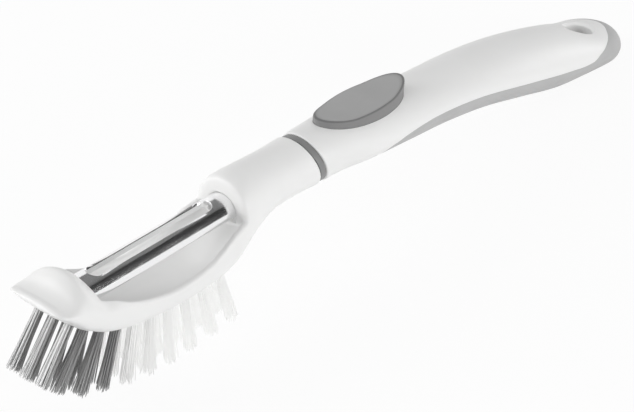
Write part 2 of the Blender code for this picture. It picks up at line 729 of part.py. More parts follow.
def main():
    clear_scene()
    parts = make_collection("vegetable_brush")
    cutters = make_collection("cutters")
    materials = make_materials()
    white = materials["white_plastic"]

    build_head(parts, cutters, white)
    build_blade(parts, cutters, materials["polished_steel"])
    build_pin("front_pivot_pin", -1, parts, materials["pin_steel"])
    build_pin("rear_pivot_pin", 1, parts, materials["pin_steel"])
    build_ring(parts, cutters, materials["ring_grey"])
    build_handle(parts, cutters, materials)
    tufts = []
    for row in range(ROW_COUNT):
        bristle = materials["grey_bristle" if row < GREY_ROWS else "white_bristle"]
        for side in (-1, 0, 1):
            tufts.append(build_tuft(row, side, parts, cutters, bristle))

    lay_down(list(parts.objects) + list(cutters.objects))
    reach = HEAD_LENGTH
    worktop = prism_z(
        "cut_worktop", [(-2 * reach, -reach), (2 * reach, -reach), (2 * reach, reach), (-2 * reach, reach)],
        -reach, 0, cutters,
    )
    for tuft in tufts:
        boolean(tuft, worktop, "DIFFERENCE")


main()
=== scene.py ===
"""Looks of the vegetable brush with its swivelling peeler blade.

Each piece is worked out in the brush's own frame: X from the nose to the end of the handle, Y across,
Z up, with the zero on the blade's swivel axis halfway between its two rims. The stance then lays the
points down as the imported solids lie, on the bristles and the end of the handle.
"""
import sys
import logging
import math
from dataclasses import dataclass
from enum import Enum

import bmesh
import bpy
import numpy as np
from mathutils import Matrix


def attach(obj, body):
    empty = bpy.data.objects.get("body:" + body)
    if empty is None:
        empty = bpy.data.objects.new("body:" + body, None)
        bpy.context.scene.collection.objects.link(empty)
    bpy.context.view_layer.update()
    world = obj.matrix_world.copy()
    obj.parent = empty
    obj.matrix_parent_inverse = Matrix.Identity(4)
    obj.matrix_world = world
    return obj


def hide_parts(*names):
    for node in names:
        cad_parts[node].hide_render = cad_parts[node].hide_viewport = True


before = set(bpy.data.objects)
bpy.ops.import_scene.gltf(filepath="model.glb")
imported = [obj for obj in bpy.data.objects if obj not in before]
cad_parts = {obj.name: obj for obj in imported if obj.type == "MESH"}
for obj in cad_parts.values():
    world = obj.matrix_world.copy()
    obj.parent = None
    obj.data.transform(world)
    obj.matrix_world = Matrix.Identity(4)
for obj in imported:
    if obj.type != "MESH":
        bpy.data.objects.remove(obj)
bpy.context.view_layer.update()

MM = 0.001
OVERRUN = 3 * MM
WHITE = (1.0, 1.0, 1.0, 1.0)
NECK_HEIGHT = 1.2 * MM
RING_SLANT = math.tan(math.radians(19.0))
LOG = logging.getLogger("vegetable_brush")

# Tables of shares. The place along the piece comes first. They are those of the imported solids, but for
# the handle's crown before the hanging hole, which is drawn nearer to the photograph.

# Place, half width, widest height, crown, keel, squareness above and below
HEAD_SHARES = np.array((
    (0.0000, 0.68, 0.52, 0.555, -0.335, 2.0, 2.0),
    (0.0040, 0.77, 0.50, 0.595, -0.290, 2.0, 2.0),
    (0.0253, 0.92, 0.42, 0.615, -0.115, 2.0, 2.2),
    (0.0505, 0.98, 0.33, 0.710, 0.055, 2.0, 2.4),
    (0.0758, 0.99, 0.24, 0.920, 0.230, 1.9, 2.7),
    (0.1011, 1.00, 0.14, 1.030, 0.375, 1.8, 3.0),
    (0.1264, 1.00, 0.06, 0.870, 0.485, 1.6, 3.2),
    (0.1516, 1.00, -0.03, 0.580, 0.585, 1.45, 3.5),
    (0.2224, 1.01, -0.25, 0.560, 0.755, 1.8, 4.0),
    (0.3033, 1.01, -0.42, 0.600, 0.875, 2.0, 4.0),
    (0.3942, 1.01, -0.55, 0.600, 0.960, 2.0, 4.0),
    (0.4953, 1.00, -0.55, 0.600, 1.000, 2.0, 4.0),
    (0.5762, 0.97, -0.45, 0.600, 0.995, 2.0, 4.0),
    (0.6368, 0.92, -0.30, 0.700, 0.965, 2.0, 4.0),
    (0.6874, 0.86, -0.05, 0.930, 0.885, 2.0, 3.6),
    (0.7177, 0.82, 0.05, 1.010, 0.800, 2.0, 3.0),
    (0.7683, 0.77, 0.10, 1.020, 0.620, 2.0, 2.4),
    (0.8289, 0.72, 0.14, 1.000, 0.475, 2.0, 2.1),
    (0.8997, 0.72, 0.14, 0.970, 0.440, 2.0, 2.0),
    (1.0000, 0.75, 0.12, 0.960, 0.493, 2.0, 2.0),
))

# Place, drop of the rim, depth, squareness
DISH_SHARES = np.array((
    (0.000, -0.49, 1.76, 1.05),
    (0.060, -0.22, 1.40, 1.20),
    (0.190, 0.36, 1.00, 1.70),
    (0.346, 0.80, 1.00, 2.00),
    (0.490, 1.00, 1.00, 2.00),
    (0.635, 0.95, 1.02, 2.00),
    (0.743, 0.80, 1.10, 2.00),
    (0.813, 0.58, 1.15, 2.00),
    (0.905, 0.26, 1.20, 2.00),
    (0.960, 0.14, 1.10, 2.00),
    (1.000, 0.04, 1.00, 2.00),
))

# Place, half width, half height, drop of the centre line
HANDLE_SHARES = np.array((
    (0.0000, 0.661, 1.020, -0.055),
    (0.0520, 0.720, 0.985, -0.055),
    (0.1215, 0.830, 0.960, -0.018),
    (0.2357, 0.866, 0.915, 0.055),
    (0.3647, 0.875, 0.915, 0.135),
    (0.4838, 0.930, 0.990, 0.230),
    (0.6129, 1.000, 1.095, 0.402),
    (0.7469, 0.992, 1.130, 0.621),
    (0.8200, 0.974, 0.990, 0.7215),
    (0.8908, 0.950, 0.800, 0.820),
    (1.0000, 0.880, 0.700, 0.890),
))

# Place, height of the parting line over the centre line as a share of the half height
PARTING_SHARES = np.array((
    (0.1150, -1.60),
    (0.1400, -0.90),
    (0.1606, -0.48),
    (0.1968, -0.19),
    (0.2362, -0.02),
    (0.2900, 0.09),
    (0.3400, 0.11),
    (0.4400, 0.09),
    (0.5037, 0.04),
    (0.6340, 0.01),
    (0.7500, 0.02),
    (0.8114, 0.02),
    (0.8362, 0.08),
    (0.8620, 0.26),
    (0.8809, 0.35),
    (0.9007, 0.45),
    (0.9206, 0.54),
    (0.9404, 0.61),
    (0.9653, 0.63),
    (1.0000, 0.63),
))

# Ring of the pad's skin from its foot to its middle, and how far it has the painted shade of its wall
# and upper edge
PAD_PAINTED_SHADE_SHARES = ((0, 0.8), (1, 0.8), (3, 1.0), (6, 1.0), (8, 0.25), (9, 0.0))

# Lean of each row of tufts towards the nose
TUFT_LEAN_DEG = (35.8, 33.5, 26.0, 18.0, 9.5, 3.5, -2.0, -6.5, -13.0, -18.0)


class Body(Enum):
    """The two bodies that the swivel joins."""

    BRUSH = "brush"
    BLADE = "blade"


class Side(Enum):
    """Place of a tuft across the head."""

    RIGHT = -1
    MIDDLE = 0
    LEFT = 1


# Shared geometry

def eased(table: np.ndarray, column: int, at: np.ndarray | float) -> np.ndarray:
    """Value of one column of a table of shares, on a curve that eases through its rows.

    A cubic runs between neighbouring rows, with the slope at each row taken from its neighbours.

    Args:
        table: rows that begin with their place.
        column: the column to read.
        at: places to read it at.

    Returns:
        The values at those places.
    """
    places, values = table[:, 0], table[:, column]
    slopes = np.gradient(values, places)
    at = np.clip(np.asarray(at, float), places[0], places[-1])
    row = np.clip(np.searchsorted(places, at) - 1, 0, len(places) - 2)
    width = places[row + 1] - places[row]
    t = (at - places[row]) / width
    rise = values[row + 1] - values[row]
    swing = (1 - t) * slopes[row] - t * slopes[row + 1]
    return values[row] + t * t * (3 - 2 * t) * rise + t * (1 - t) * width * swing


def smooth_step(low: float, high: float, at: np.ndarray) -> np.ndarray:
    """Ease from 0 at low to 1 at high, flat at both ends.

    Args:
        low: place where it starts to rise.
        high: place where it is 1.
        at: places to read it at.

    Returns:
        The share from 0 to 1.
    """
    t = np.clip((np.asarray(at, float) - low) / (high - low), 0, 1)
    return t * t * (3 - 2 * t)


def oval_rings(
    half_width: np.ndarray, top: np.ndarray, middle: np.ndarray, bottom: np.ndarray,
    square_top: np.ndarray | float = 2.0, square_bottom: np.ndarray | float = 2.0, points: int = 128,
) -> np.ndarray:
    """Sections in Y and Z, one for each station: two half superellipses that meet at the widest height.

    At angle a, Y is the half width times the cosine to the power 2 / squareness, and Z leaves the
    widest height by the reach up or down times the sine to the same power.

    Args:
        half_width: half width of each station.
        top: crown of each station.
        middle: widest height of each station.
        bottom: keel of each station.
        square_top: squareness above the widest height.
        square_bottom: squareness below it.
        points: points round each section.

    Returns:
        An array of stations by points by 2.
    """
    angle = np.linspace(0, 2 * math.pi, points, endpoint=False)[None, :]
    shape = np.asarray(half_width, float)[:, None]
    up, mid, down = (np.asarray(v, float)[:, None] for v in (top, middle, bottom))
    high = np.broadcast_to(np.asarray(square_top, float), shape.shape[:1])[:, None]
    low = np.broadcast_to(np.asarray(square_bottom, float), shape.shape[:1])[:, None]
    cosine, sine = np.cos(angle), np.sin(angle)
    power = 2 / np.where(sine >= 0, high, low)
    y = shape * np.sign(cosine) * np.abs(cosine) ** power
    z = mid + np.where(sine >= 0, up - mid, mid - down) * np.sign(sine) * np.abs(sine) ** power
    return np.stack([y, z], axis=-1)


def arc(radius: float, start_deg: float, end_deg: float, points: int) -> np.ndarray:
    """Points on an arc about the zero: radius times the cosine and the sine of evenly spaced angles."""
    angle = np.radians(np.linspace(start_deg, end_deg, points))
    return np.stack([radius * np.cos(angle), radius * np.sin(angle)], axis=1)


def joint_edge(ring: np.ndarray, radius: float, edge: float, turn: np.ndarray) -> np.ndarray:
    """Rings that round the edge at the slanted joint by a quarter circle.

    Each ring shrinks towards the neck's axis by the edge times 1 minus the cosine of its turn, moves
    along X by the edge times the sine, and keeps to the joint's slant.

    Args:
        ring: the full ring next to the joint.
        radius: mean radius of the joint.
        edge: radius of the rounding, below zero where it looks towards the nose.
        turn: angle of each ring, which would be 0 at the full ring.

    Returns:
        An array of rings by points by 3.
    """
    turn = turn[:, None, None]
    pulled = (ring - (0, 0, NECK_HEIGHT)) * (0, 1, 1) * (-abs(edge) * (1 - np.cos(turn)) / radius)
    along = edge * np.sin(turn) - RING_SLANT * pulled[..., 2:]
    return ring + pulled + np.concatenate([along, 0 * along, 0 * along], axis=-1)


@dataclass(frozen=True)
class Stance:
    """How the brush lies: turned about Y by its pitch, the swivel's middle at its place in X and Z."""

    middle_x: float = -80.39657879 * MM
    middle_z: float = 34.84892941 * MM
    pitch: float = math.radians(2.900111)

    def lay(self, points: np.ndarray) -> np.ndarray:
        """Points of the brush's own frame, laid down as the brush rests.

        X and Z turn about Y by the pitch and are moved to the swivel's middle.

        Args:
            points: an array whose last axis is X, Y, Z.

        Returns:
            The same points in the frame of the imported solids.
        """
        points = np.asarray(points, float)
        c, s = math.cos(self.pitch), math.sin(self.pitch)
        x = self.middle_x + c * points[..., 0] + s * points[..., 2]
        z = self.middle_z - s * points[..., 0] + c * points[..., 2]
        return np.stack([x, points[..., 1], z], axis=-1)

    def lift(self, points: np.ndarray) -> np.ndarray:
        """Points of the laid brush, carried back to the brush's own frame: the reverse of lay.

        Args:
            points: an array whose last axis is X, Y, Z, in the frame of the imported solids.

        Returns:
            The same points in the brush's own frame.
        """
        c, s = math.cos(self.pitch), math.sin(self.pitch)
        x, z = points[..., 0] - self.middle_x, points[..., 2] - self.middle_z
        return np.stack([c * x - s * z, points[..., 1], s * x + c * z], axis=-1)


STANCE = Stance()


@dataclass
class Skin:
    """Points and faces of one surface."""

    points: np.ndarray
    faces: list[list[int]]

    @staticmethod
    def over_rings(rings: np.ndarray, looped: bool = False) -> "Skin":
        """Skin over rings of equally many points: quads between neighbours, a fan over each end.

        Args:
            rings: an array of rings by points by 3.
            looped: join the last ring to the first, in place of the two fans.

        Returns:
            The skin.
        """
        count, size = rings.shape[:2]
        grid = np.arange(count * size).reshape(count, size)
        if looped:
            grid = np.concatenate([grid, grid[:1]])
        near, far = grid[:-1], grid[1:]
        quads = np.stack([near, far, np.roll(far, -1, 1), np.roll(near, -1, 1)], axis=-1)
        points = rings.reshape(-1, 3)
        faces = quads.reshape(-1, 4).tolist()
        if not looped:
            ends = np.stack([rings[0].mean(0), rings[-1].mean(0)])
            points = np.concatenate([points, ends])
            first, last = grid[0], grid[-1]
            start, stop = np.full(size, count * size), np.full(size, count * size + 1)
            faces += np.stack([first, np.roll(first, -1), start], axis=1).tolist()
            faces += np.stack([np.roll(last, -1), last, stop], axis=1).tolist()
        return Skin(points, faces)

    @staticmethod
    def together(skins: list["Skin"]) -> "Skin":
        """Several skins as one, which don't touch or only stand in each other.

        Args:
            skins: the single skins.

        Returns:
            One skin with all their points and faces.
        """
        offset, points, faces = 0, [], []
        for skin in skins:
            points.append(skin.points)
            faces += [[index + offset for index in face] for face in skin.faces]
            offset += len(skin.points)
        return Skin(np.concatenate(points), faces)

    @staticmethod
    def turned(profile: np.ndarray, centre: tuple[float, float], sides: int) -> "Skin":
        """Upright turned form: each point of a profile goes round the centre in X and Y.

        X and Y are the centre plus the radius times the cosine and the sine of the angle.

        Args:
            profile: rows of radius and Z.
            centre: X and Y of the axis.
            sides: points round the axis.

        Returns:
            The skin.
        """
        angle = np.linspace(0, 2 * math.pi, sides, endpoint=False)[None, :]
        radius, height = profile[:, :1], profile[:, 1:]
        x = centre[0] + radius * np.cos(angle)
        y = centre[1] + radius * np.sin(angle)
        return Skin.over_rings(np.stack([x, y, np.broadcast_to(height, x.shape)], axis=-1))

    @staticmethod
    def along_x(x: np.ndarray, outlines: np.ndarray) -> "Skin":
        """Skin over outlines in Y and Z, each at its own X.

        Args:
            x: place of each outline.
            outlines: one outline for all places, or one for each.

        Returns:
            The skin.
        """
        outlines = np.broadcast_to(outlines, (len(x), *outlines.shape[-2:]))
        x = np.broadcast_to(x[:, None, None], (*outlines.shape[:2], 1))
        return Skin.over_rings(np.concatenate([x, outlines], axis=-1))

    def make(self, name: str, material: bpy.types.Material | None = None) -> bpy.types.Object:
        """Lay the skin down and put it in an object at the origin, with its faces outwards.

        Args:
            name: name of the piece.
            material: its finish, or nothing for a cutter.

        Returns:
            The object.
        """
        mesh = bpy.data.meshes.new(name)
        mesh.from_pydata(STANCE.lay(self.points).tolist(), [], self.faces)
        face_outwards(mesh)
        piece = add_object(name, mesh)
        if material is not None:
            mesh.materials.append(material)
        return piece


def add_object(name: str, data: bpy.types.ID) -> bpy.types.Object:
    """Put a mesh, a lamp or a camera into the scene as an object at the origin.

    Args:
        name: name of the object.
        data: what it holds.

    Returns:
        The object.
    """
    body = bpy.data.objects.new(name, data)
    bpy.context.scene.collection.objects.link(body)
    return body


def face_outwards(mesh: bpy.types.Mesh) -> None:
    """Merge doubled points of a mesh and turn its faces outwards.

    Args:
        mesh: a mesh of closed surfaces.
    """
    work = bmesh.new()
    work.from_mesh(mesh)
    bmesh.ops.remove_doubles(work, verts=work.verts, dist=MM / 1000)
    bmesh.ops.recalc_face_normals(work, faces=work.faces)
    work.to_mesh(mesh)
    work.free()


def settle(piece: bpy.types.Object) -> None:
    """Apply the modifiers of a piece to its mesh.

    Args:
        piece: a piece at the origin.
    """
    bpy.context.view_layer.update()
    graph = bpy.context.evaluated_depsgraph_get()
    mesh = bpy.data.meshes.new_from_object(piece.evaluated_get(graph))
    piece.modifiers.clear()
    old, piece.data = piece.data, mesh
    mesh.name = piece.name
    bpy.data.meshes.remove(old)


def carve(piece: bpy.types.Object, tool: bpy.types.Object, operation: str = "DIFFERENCE") -> None:
    """Cut a piece with a tool, or join or keep what they share, and take the tool away.

    Args:
        piece: the piece that changes.
        tool: the closed form that is used up.
        operation: DIFFERENCE, UNION or INTERSECT.
    """
    modifier = piece.modifiers.new("carve", "BOOLEAN")
    modifier.operation, modifier.solver, modifier.object = operation, "MANIFOLD", tool
    settle(piece)
    bpy.data.objects.remove(tool, do_unlink=True)


def soften(piece: bpy.types.Object, cell: float, passes: int) -> None:
    """Round every edge of a moulding.

    Its skin is laid again in even cells, drawn onto the old one and relaxed.

    Args:
        piece: the moulding.
        cell: size of a cell of the new skin.
        passes: how often the skin is relaxed, which sets the radius of the edges.
    """
    model = add_object("tool_model", piece.data.copy())
    remesh = piece.modifiers.new("cells", "REMESH")
    remesh.mode, remesh.voxel_size, remesh.use_smooth_shade = "VOXEL", cell, True
    draw = piece.modifiers.new("draw", "SHRINKWRAP")
    draw.wrap_method, draw.target = "NEAREST_SURFACEPOINT", model
    relax = piece.modifiers.new("relax", "SMOOTH")
    relax.factor, relax.iterations = 0.5, passes
    settle(piece)
    bpy.data.objects.remove(model, do_unlink=True)


def shade(piece: bpy.types.Object, sharp_deg: float = 40.0) -> None:
    """Smooth shading with sharp edges above an angle."""
    piece.data.shade_smooth()
    piece.data.set_sharp_from_angle(angle=math.radians(sharp_deg))


def mount(piece: bpy.types.Object, body: Body, slot: str, *nodes: str) -> bpy.types.Object:
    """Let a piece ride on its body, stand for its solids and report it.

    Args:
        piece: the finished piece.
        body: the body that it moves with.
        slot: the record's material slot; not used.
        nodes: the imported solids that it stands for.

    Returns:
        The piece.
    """
    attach(piece, body.value)
    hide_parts(*nodes)
    faces, solids = len(piece.data.polygons), ", ".join(nodes)
    LOG.info("%s: %d faces, on %s, for %s", piece.name, faces, body.value, solids)
    return piece


# Finishes

class Nodes:
    """Short way to lay out the nodes of a material or of a shared group."""

    def __init__(self, tree: bpy.types.NodeTree) -> None:
        """Work in a node tree."""
        self.tree = tree

    def add(self, kind: str, inputs: dict | None = None, **settings: object) -> bpy.types.Node:
        """A new node with its settings, and its inputs set or joined.

        Args:
            kind: the node's type.
            inputs: value or socket for each input, by name or number.
            settings: properties of the node.

        Returns:
            The node.
        """
        node = self.tree.nodes.new(kind)
        for key, value in settings.items():
            setattr(node, key, value)
        for key, value in (inputs or {}).items():
            if isinstance(value, bpy.types.NodeSocket):
                self.tree.links.new(value, node.inputs[key])
            else:
                node.inputs[key].default_value = value
        return node

    def math(self, operation: str, first: object, second: object = 0.0) -> bpy.types.NodeSocket:
        """Result of one sum on two values or sockets."""
        return self.add("ShaderNodeMath", {0: first, 1: second}, operation=operation).outputs[0]

    def spread(
        self, value: bpy.types.NodeSocket, low: float, high: float, start: float, end: float,
    ) -> bpy.types.NodeSocket:
        """A value carried from the range low to high over to start to end."""
        return self.add("ShaderNodeMapRange", {0: value, 1: low, 2: high, 3: start, 4: end}).outputs[0]

    def blend(self, share: object, first: object, second: object) -> bpy.types.NodeSocket:
        """Mix of two colours by a share."""
        return self.add("ShaderNodeMix", {0: share, 6: first, 7: second}, data_type="RGBA").outputs[2]

    def noise(self, place: bpy.types.NodeSocket, scale: object, detail: float) -> bpy.types.NodeSocket:
        """Soft noise over a place, in cells to the metre."""
        inputs = {"Vector": place, "Scale": scale, "Detail": detail}
        return self.add("ShaderNodeTexNoise", inputs).outputs[0]


def open_group(
    name: str, takes: dict[str, float], gives: tuple[str, ...],
) -> tuple[Nodes, bpy.types.Node, bpy.types.Node]:
    """A new shared group with its sockets, all of them plain values.

    Args:
        name: name of the group.
        takes: its inputs with their first values.
        gives: its outputs.

    Returns:
        The group's nodes, its input node and its output node.
    """
    tree = bpy.data.node_groups.new(name, "ShaderNodeTree")
    for socket, start in takes.items():
        made = tree.interface.new_socket(socket, in_out="INPUT", socket_type="NodeSocketFloat")
        made.default_value = start
    for socket in gives:
        tree.interface.new_socket(socket, in_out="OUTPUT", socket_type="NodeSocketFloat")
    nodes = Nodes(tree)
    return nodes, nodes.add("NodeGroupInput"), nodes.add("NodeGroupOutput")


def make_mottle_group() -> None:
    """Shared group: broad and fine clouds that a colour or a roughness wanders with.

    Broad and Fine are in cells to the metre, and the clouds come out as Clouds and Specks.
    """
    nodes, given, result = open_group("mottle", {"Broad": 60.0, "Fine": 900.0}, ("Clouds", "Specks"))
    place = nodes.add("ShaderNodeTexCoord").outputs["Object"]
    clouds = nodes.noise(place, given.outputs["Broad"], 3.0)
    specks = nodes.noise(place, given.outputs["Fine"], 2.0)
    nodes.tree.links.new(clouds, result.inputs["Clouds"])
    nodes.tree.links.new(specks, result.inputs["Specks"])


def make_skin_group() -> None:
    """Shared group: the fine skin that a mould leaves, as a height.

    Cells is in cells to the metre, and Pits is the share of the pits in the height.
    """
    nodes, given, result = open_group("mould_skin", {"Cells": 2500.0, "Pits": 0.4}, ("Height",))
    place = nodes.add("ShaderNodeTexCoord").outputs["Object"]
    grain = nodes.noise(place, given.outputs["Cells"], 0.0)
    cells = nodes.add("ShaderNodeTexVoronoi", {"Vector": place, "Scale": given.outputs["Cells"]})
    pits = nodes.math("MULTIPLY", cells.outputs["Distance"], given.outputs["Pits"])
    nodes.tree.links.new(nodes.math("ADD", grain, pits), result.inputs["Height"])


def make_lines_group() -> None:
    """Shared group: the fine lines of polished or drawn steel, as noise drawn out along X.

    Along and Across are in cells to the metre.
    """
    nodes, given, result = open_group("drawn_lines", {"Along": 25.0, "Across": 5200.0}, ("Lines",))
    place = nodes.add("ShaderNodeTexCoord").outputs["Object"]
    along, across = given.outputs["Along"], given.outputs["Across"]
    scale = nodes.add("ShaderNodeCombineXYZ", {0: along, 1: across, 2: across}).outputs[0]
    drawn = nodes.add("ShaderNodeVectorMath", {0: place, 1: scale}, operation="MULTIPLY").outputs[0]
    nodes.tree.links.new(nodes.noise(drawn, 1.0, 4.0), result.inputs["Lines"])


def make_strand_group() -> None:
    """Shared group: how pale a filament is, from its tone attribute and from the way along it; in the
    first grey row the tone holds a painted lit side.

    Own and Tip are the shares of the two.
    """
    nodes, given, result = open_group("strand_tone", {"Own": 0.85, "Tip": 0.15}, ("Paleness",))
    # The tone attribute holds each strand's own tone and, in the first grey row, a painted lit side.
    tone = nodes.add("ShaderNodeAttribute", attribute_name="tone").outputs["Fac"]
    reach = nodes.add("ShaderNodeAttribute", attribute_name="reach").outputs["Fac"]
    own = nodes.math("MULTIPLY", tone, given.outputs["Own"])
    tip = nodes.math("MULTIPLY", reach, given.outputs["Tip"])
    nodes.tree.links.new(nodes.math("ADD", own, tip), result.inputs["Paleness"])


def opaque(colour: tuple[float, float, float], share: float = 1.0) -> tuple[float, ...]:
    """A colour times a share, with full cover as the fourth value."""
    return *(share * part for part in colour), 1.0


@dataclass(frozen=True)
class Finish:
    """What all finishes share: a name and the groups that they draw on."""

    name: str

    def begin(self) -> tuple[bpy.types.Material, Nodes, bpy.types.Node]:
        """A new material with its shader.

        Returns:
            The material, its nodes and its shader.
        """
        material = bpy.data.materials.new(self.name)
        material.use_nodes = True
        nodes = Nodes(material.node_tree)
        return material, nodes, material.node_tree.nodes["Principled BSDF"]

    def group(self, nodes: Nodes, name: str, inputs: dict) -> bpy.types.Node:
        """One of the shared groups in this material, with its inputs set."""
        return nodes.add("ShaderNodeGroup", inputs, node_tree=bpy.data.node_groups[name])


@dataclass(frozen=True)
class Moulding(Finish):
    """Moulded plastic or rubber: a faint drift of colour, uneven sheen and the skin of the mould.

    Rim is the share of the colour that is left where the piece's rim attribute is 1: painted shade,
    which darkens the pad's wall and upper edge.
    """

    colour: tuple[float, float, float]
    drift: tuple[float, float, float]
    rough_low: float
    rough_high: float
    cells: float = 160.0
    pits: float = 0.0
    depth: float = 0.020 * MM
    rim: float = 0.0

    def material(self) -> bpy.types.Material:
        """The finish as a material.

        Returns:
            The material.
        """
        material, nodes, shader = self.begin()
        mottle = self.group(nodes, "mottle", {"Broad": 55.0, "Fine": 1100.0})
        share = nodes.spread(mottle.outputs["Clouds"], 0.3, 0.7, 0.0, 1.0)
        colour = nodes.blend(share, opaque(self.colour), opaque(self.drift))
        # Painted shade: the rim attribute darkens the colour where shade falls on the pad's wall and
        # upper edge.
        if self.rim:
            rim = nodes.add("ShaderNodeAttribute", attribute_name="rim").outputs["Fac"]
            colour = nodes.blend(rim, colour, opaque(self.colour, self.rim))
        nodes.tree.links.new(colour, shader.inputs["Base Color"])
        both = nodes.math("ADD", mottle.outputs["Clouds"], mottle.outputs["Specks"])
        rough = nodes.spread(both, 0.7, 1.3, self.rough_low, self.rough_high)
        nodes.tree.links.new(rough, shader.inputs["Roughness"])
        skin = self.group(nodes, "mould_skin", {"Cells": self.cells, "Pits": self.pits})
        height = {"Height": skin.outputs["Height"], "Strength": 0.5, "Distance": self.depth}
        nodes.tree.links.new(nodes.add("ShaderNodeBump", height).outputs[0], shader.inputs["Normal"])
        return material


@dataclass(frozen=True)
class Steel(Finish):
    """Polished or drawn steel with fine lines along the brush."""

    colour: tuple[float, float, float]
    rough_low: float
    rough_high: float
    line_depth: float

    def material(self) -> bpy.types.Material:
        """The finish as a material: the lines of the polish carry its tone, roughness and relief.

        Returns:
            The material.
        """
        material, nodes, shader = self.begin()
        lines = self.group(nodes, "drawn_lines", {"Along": 25.0, "Across": 5200.0}).outputs["Lines"]
        smear = self.group(nodes, "mottle", {"Broad": 140.0, "Fine": 1500.0}).outputs["Clouds"]
        tone = nodes.spread(lines, 0.3, 0.7, 0.90, 1.0)
        colour = nodes.blend(tone, opaque(self.colour, 0.86), opaque(self.colour))
        nodes.tree.links.new(colour, shader.inputs["Base Color"])
        both = nodes.math("ADD", nodes.math("MULTIPLY", lines, 0.6), nodes.math("MULTIPLY", smear, 0.4))
        rough = nodes.spread(both, 0.35, 0.65, self.rough_low, self.rough_high)
        nodes.tree.links.new(rough, shader.inputs["Roughness"])
        shader.inputs["Metallic"].default_value = 1.0
        height = {"Height": lines, "Strength": 1.0, "Distance": self.line_depth}
        nodes.tree.links.new(nodes.add("ShaderNodeBump", height).outputs[0], shader.inputs["Normal"])
        return material


@dataclass(frozen=True)
class Nylon(Finish):
    """Nylon filament: each strand has its own tone and a paler tip; the tone attribute of the first grey
    row also holds a painted lit side.

    The glow value is a painted glow: a faint emission that stands in for the light that passes through
    the clear filaments.
    """

    dark: tuple[float, float, float]
    light: tuple[float, float, float]
    sheen: float
    painted_glow: float = 0.0
    rough_low: float = 0.33
    rough_high: float = 0.47

    def material(self) -> bpy.types.Material:
        """The finish as a material, from the strands' tone, which holds the first grey row's painted lit
        side, and their reach.

        Returns:
            The material.
        """
        material, nodes, shader = self.begin()
        mottle = self.group(nodes, "mottle", {"Broad": 400.0, "Fine": 3000.0})
        pale = self.group(nodes, "strand_tone", {"Own": 0.85, "Tip": 0.15}).outputs["Paleness"]
        colour = nodes.blend(pale, opaque(self.dark), opaque(self.light))
        nodes.tree.links.new(colour, shader.inputs["Base Color"])
        rough = nodes.spread(mottle.outputs["Specks"], 0.3, 0.7, self.rough_low, self.rough_high)
        nodes.tree.links.new(rough, shader.inputs["Roughness"])
        shader.inputs["IOR"].default_value = 1.53
        shader.inputs["Sheen Weight"].default_value = self.sheen
        shader.inputs["Sheen Roughness"].default_value = 0.5
        # Painted glow: the filaments give off a little light of their own in place of the light that
        # passes through them.
        shader.inputs["Emission Color"].default_value = WHITE
        shader.inputs["Emission Strength"].default_value = self.painted_glow
        return material


RUBBER_SKIN = {"cells": 3200.0, "pits": 0.6, "depth": 0.010 * MM}

FINISHES = (
    Moulding("white_plastic", (0.875, 0.875, 0.87), (0.86, 0.86, 0.855), 0.40, 0.50),
    # The pad's rim share darkens its wall and upper edge as painted shade.
    Moulding("pad_grey", (0.42,) * 3, (0.395,) * 3, 0.50, 0.62, rim=0.42, **RUBBER_SKIN),
    Moulding("grip_grey", (0.49,) * 3, (0.45,) * 3, 0.52, 0.64, **RUBBER_SKIN),
    Moulding("ring_grey", (0.24,) * 3, (0.21,) * 3, 0.38, 0.48, depth=0.005 * MM),
    Steel("polished_steel", (0.90, 0.90, 0.905), 0.10, 0.20, 0.0006 * MM),
    Steel("pin_steel", (0.62, 0.62, 0.63), 0.29, 0.39, 0.002 * MM),
    # The grey bristles' pale colour is mostly the painted lit side of the first row.
    Nylon("grey_bristle", (0.22,) * 3, (0.92,) * 3, 0.3),
    # The white bristles' last value is a painted glow.
    Nylon("white_bristle", (0.95, 0.95, 0.94), (0.98, 0.98, 0.97), 1.0, 0.06),
)


# Head

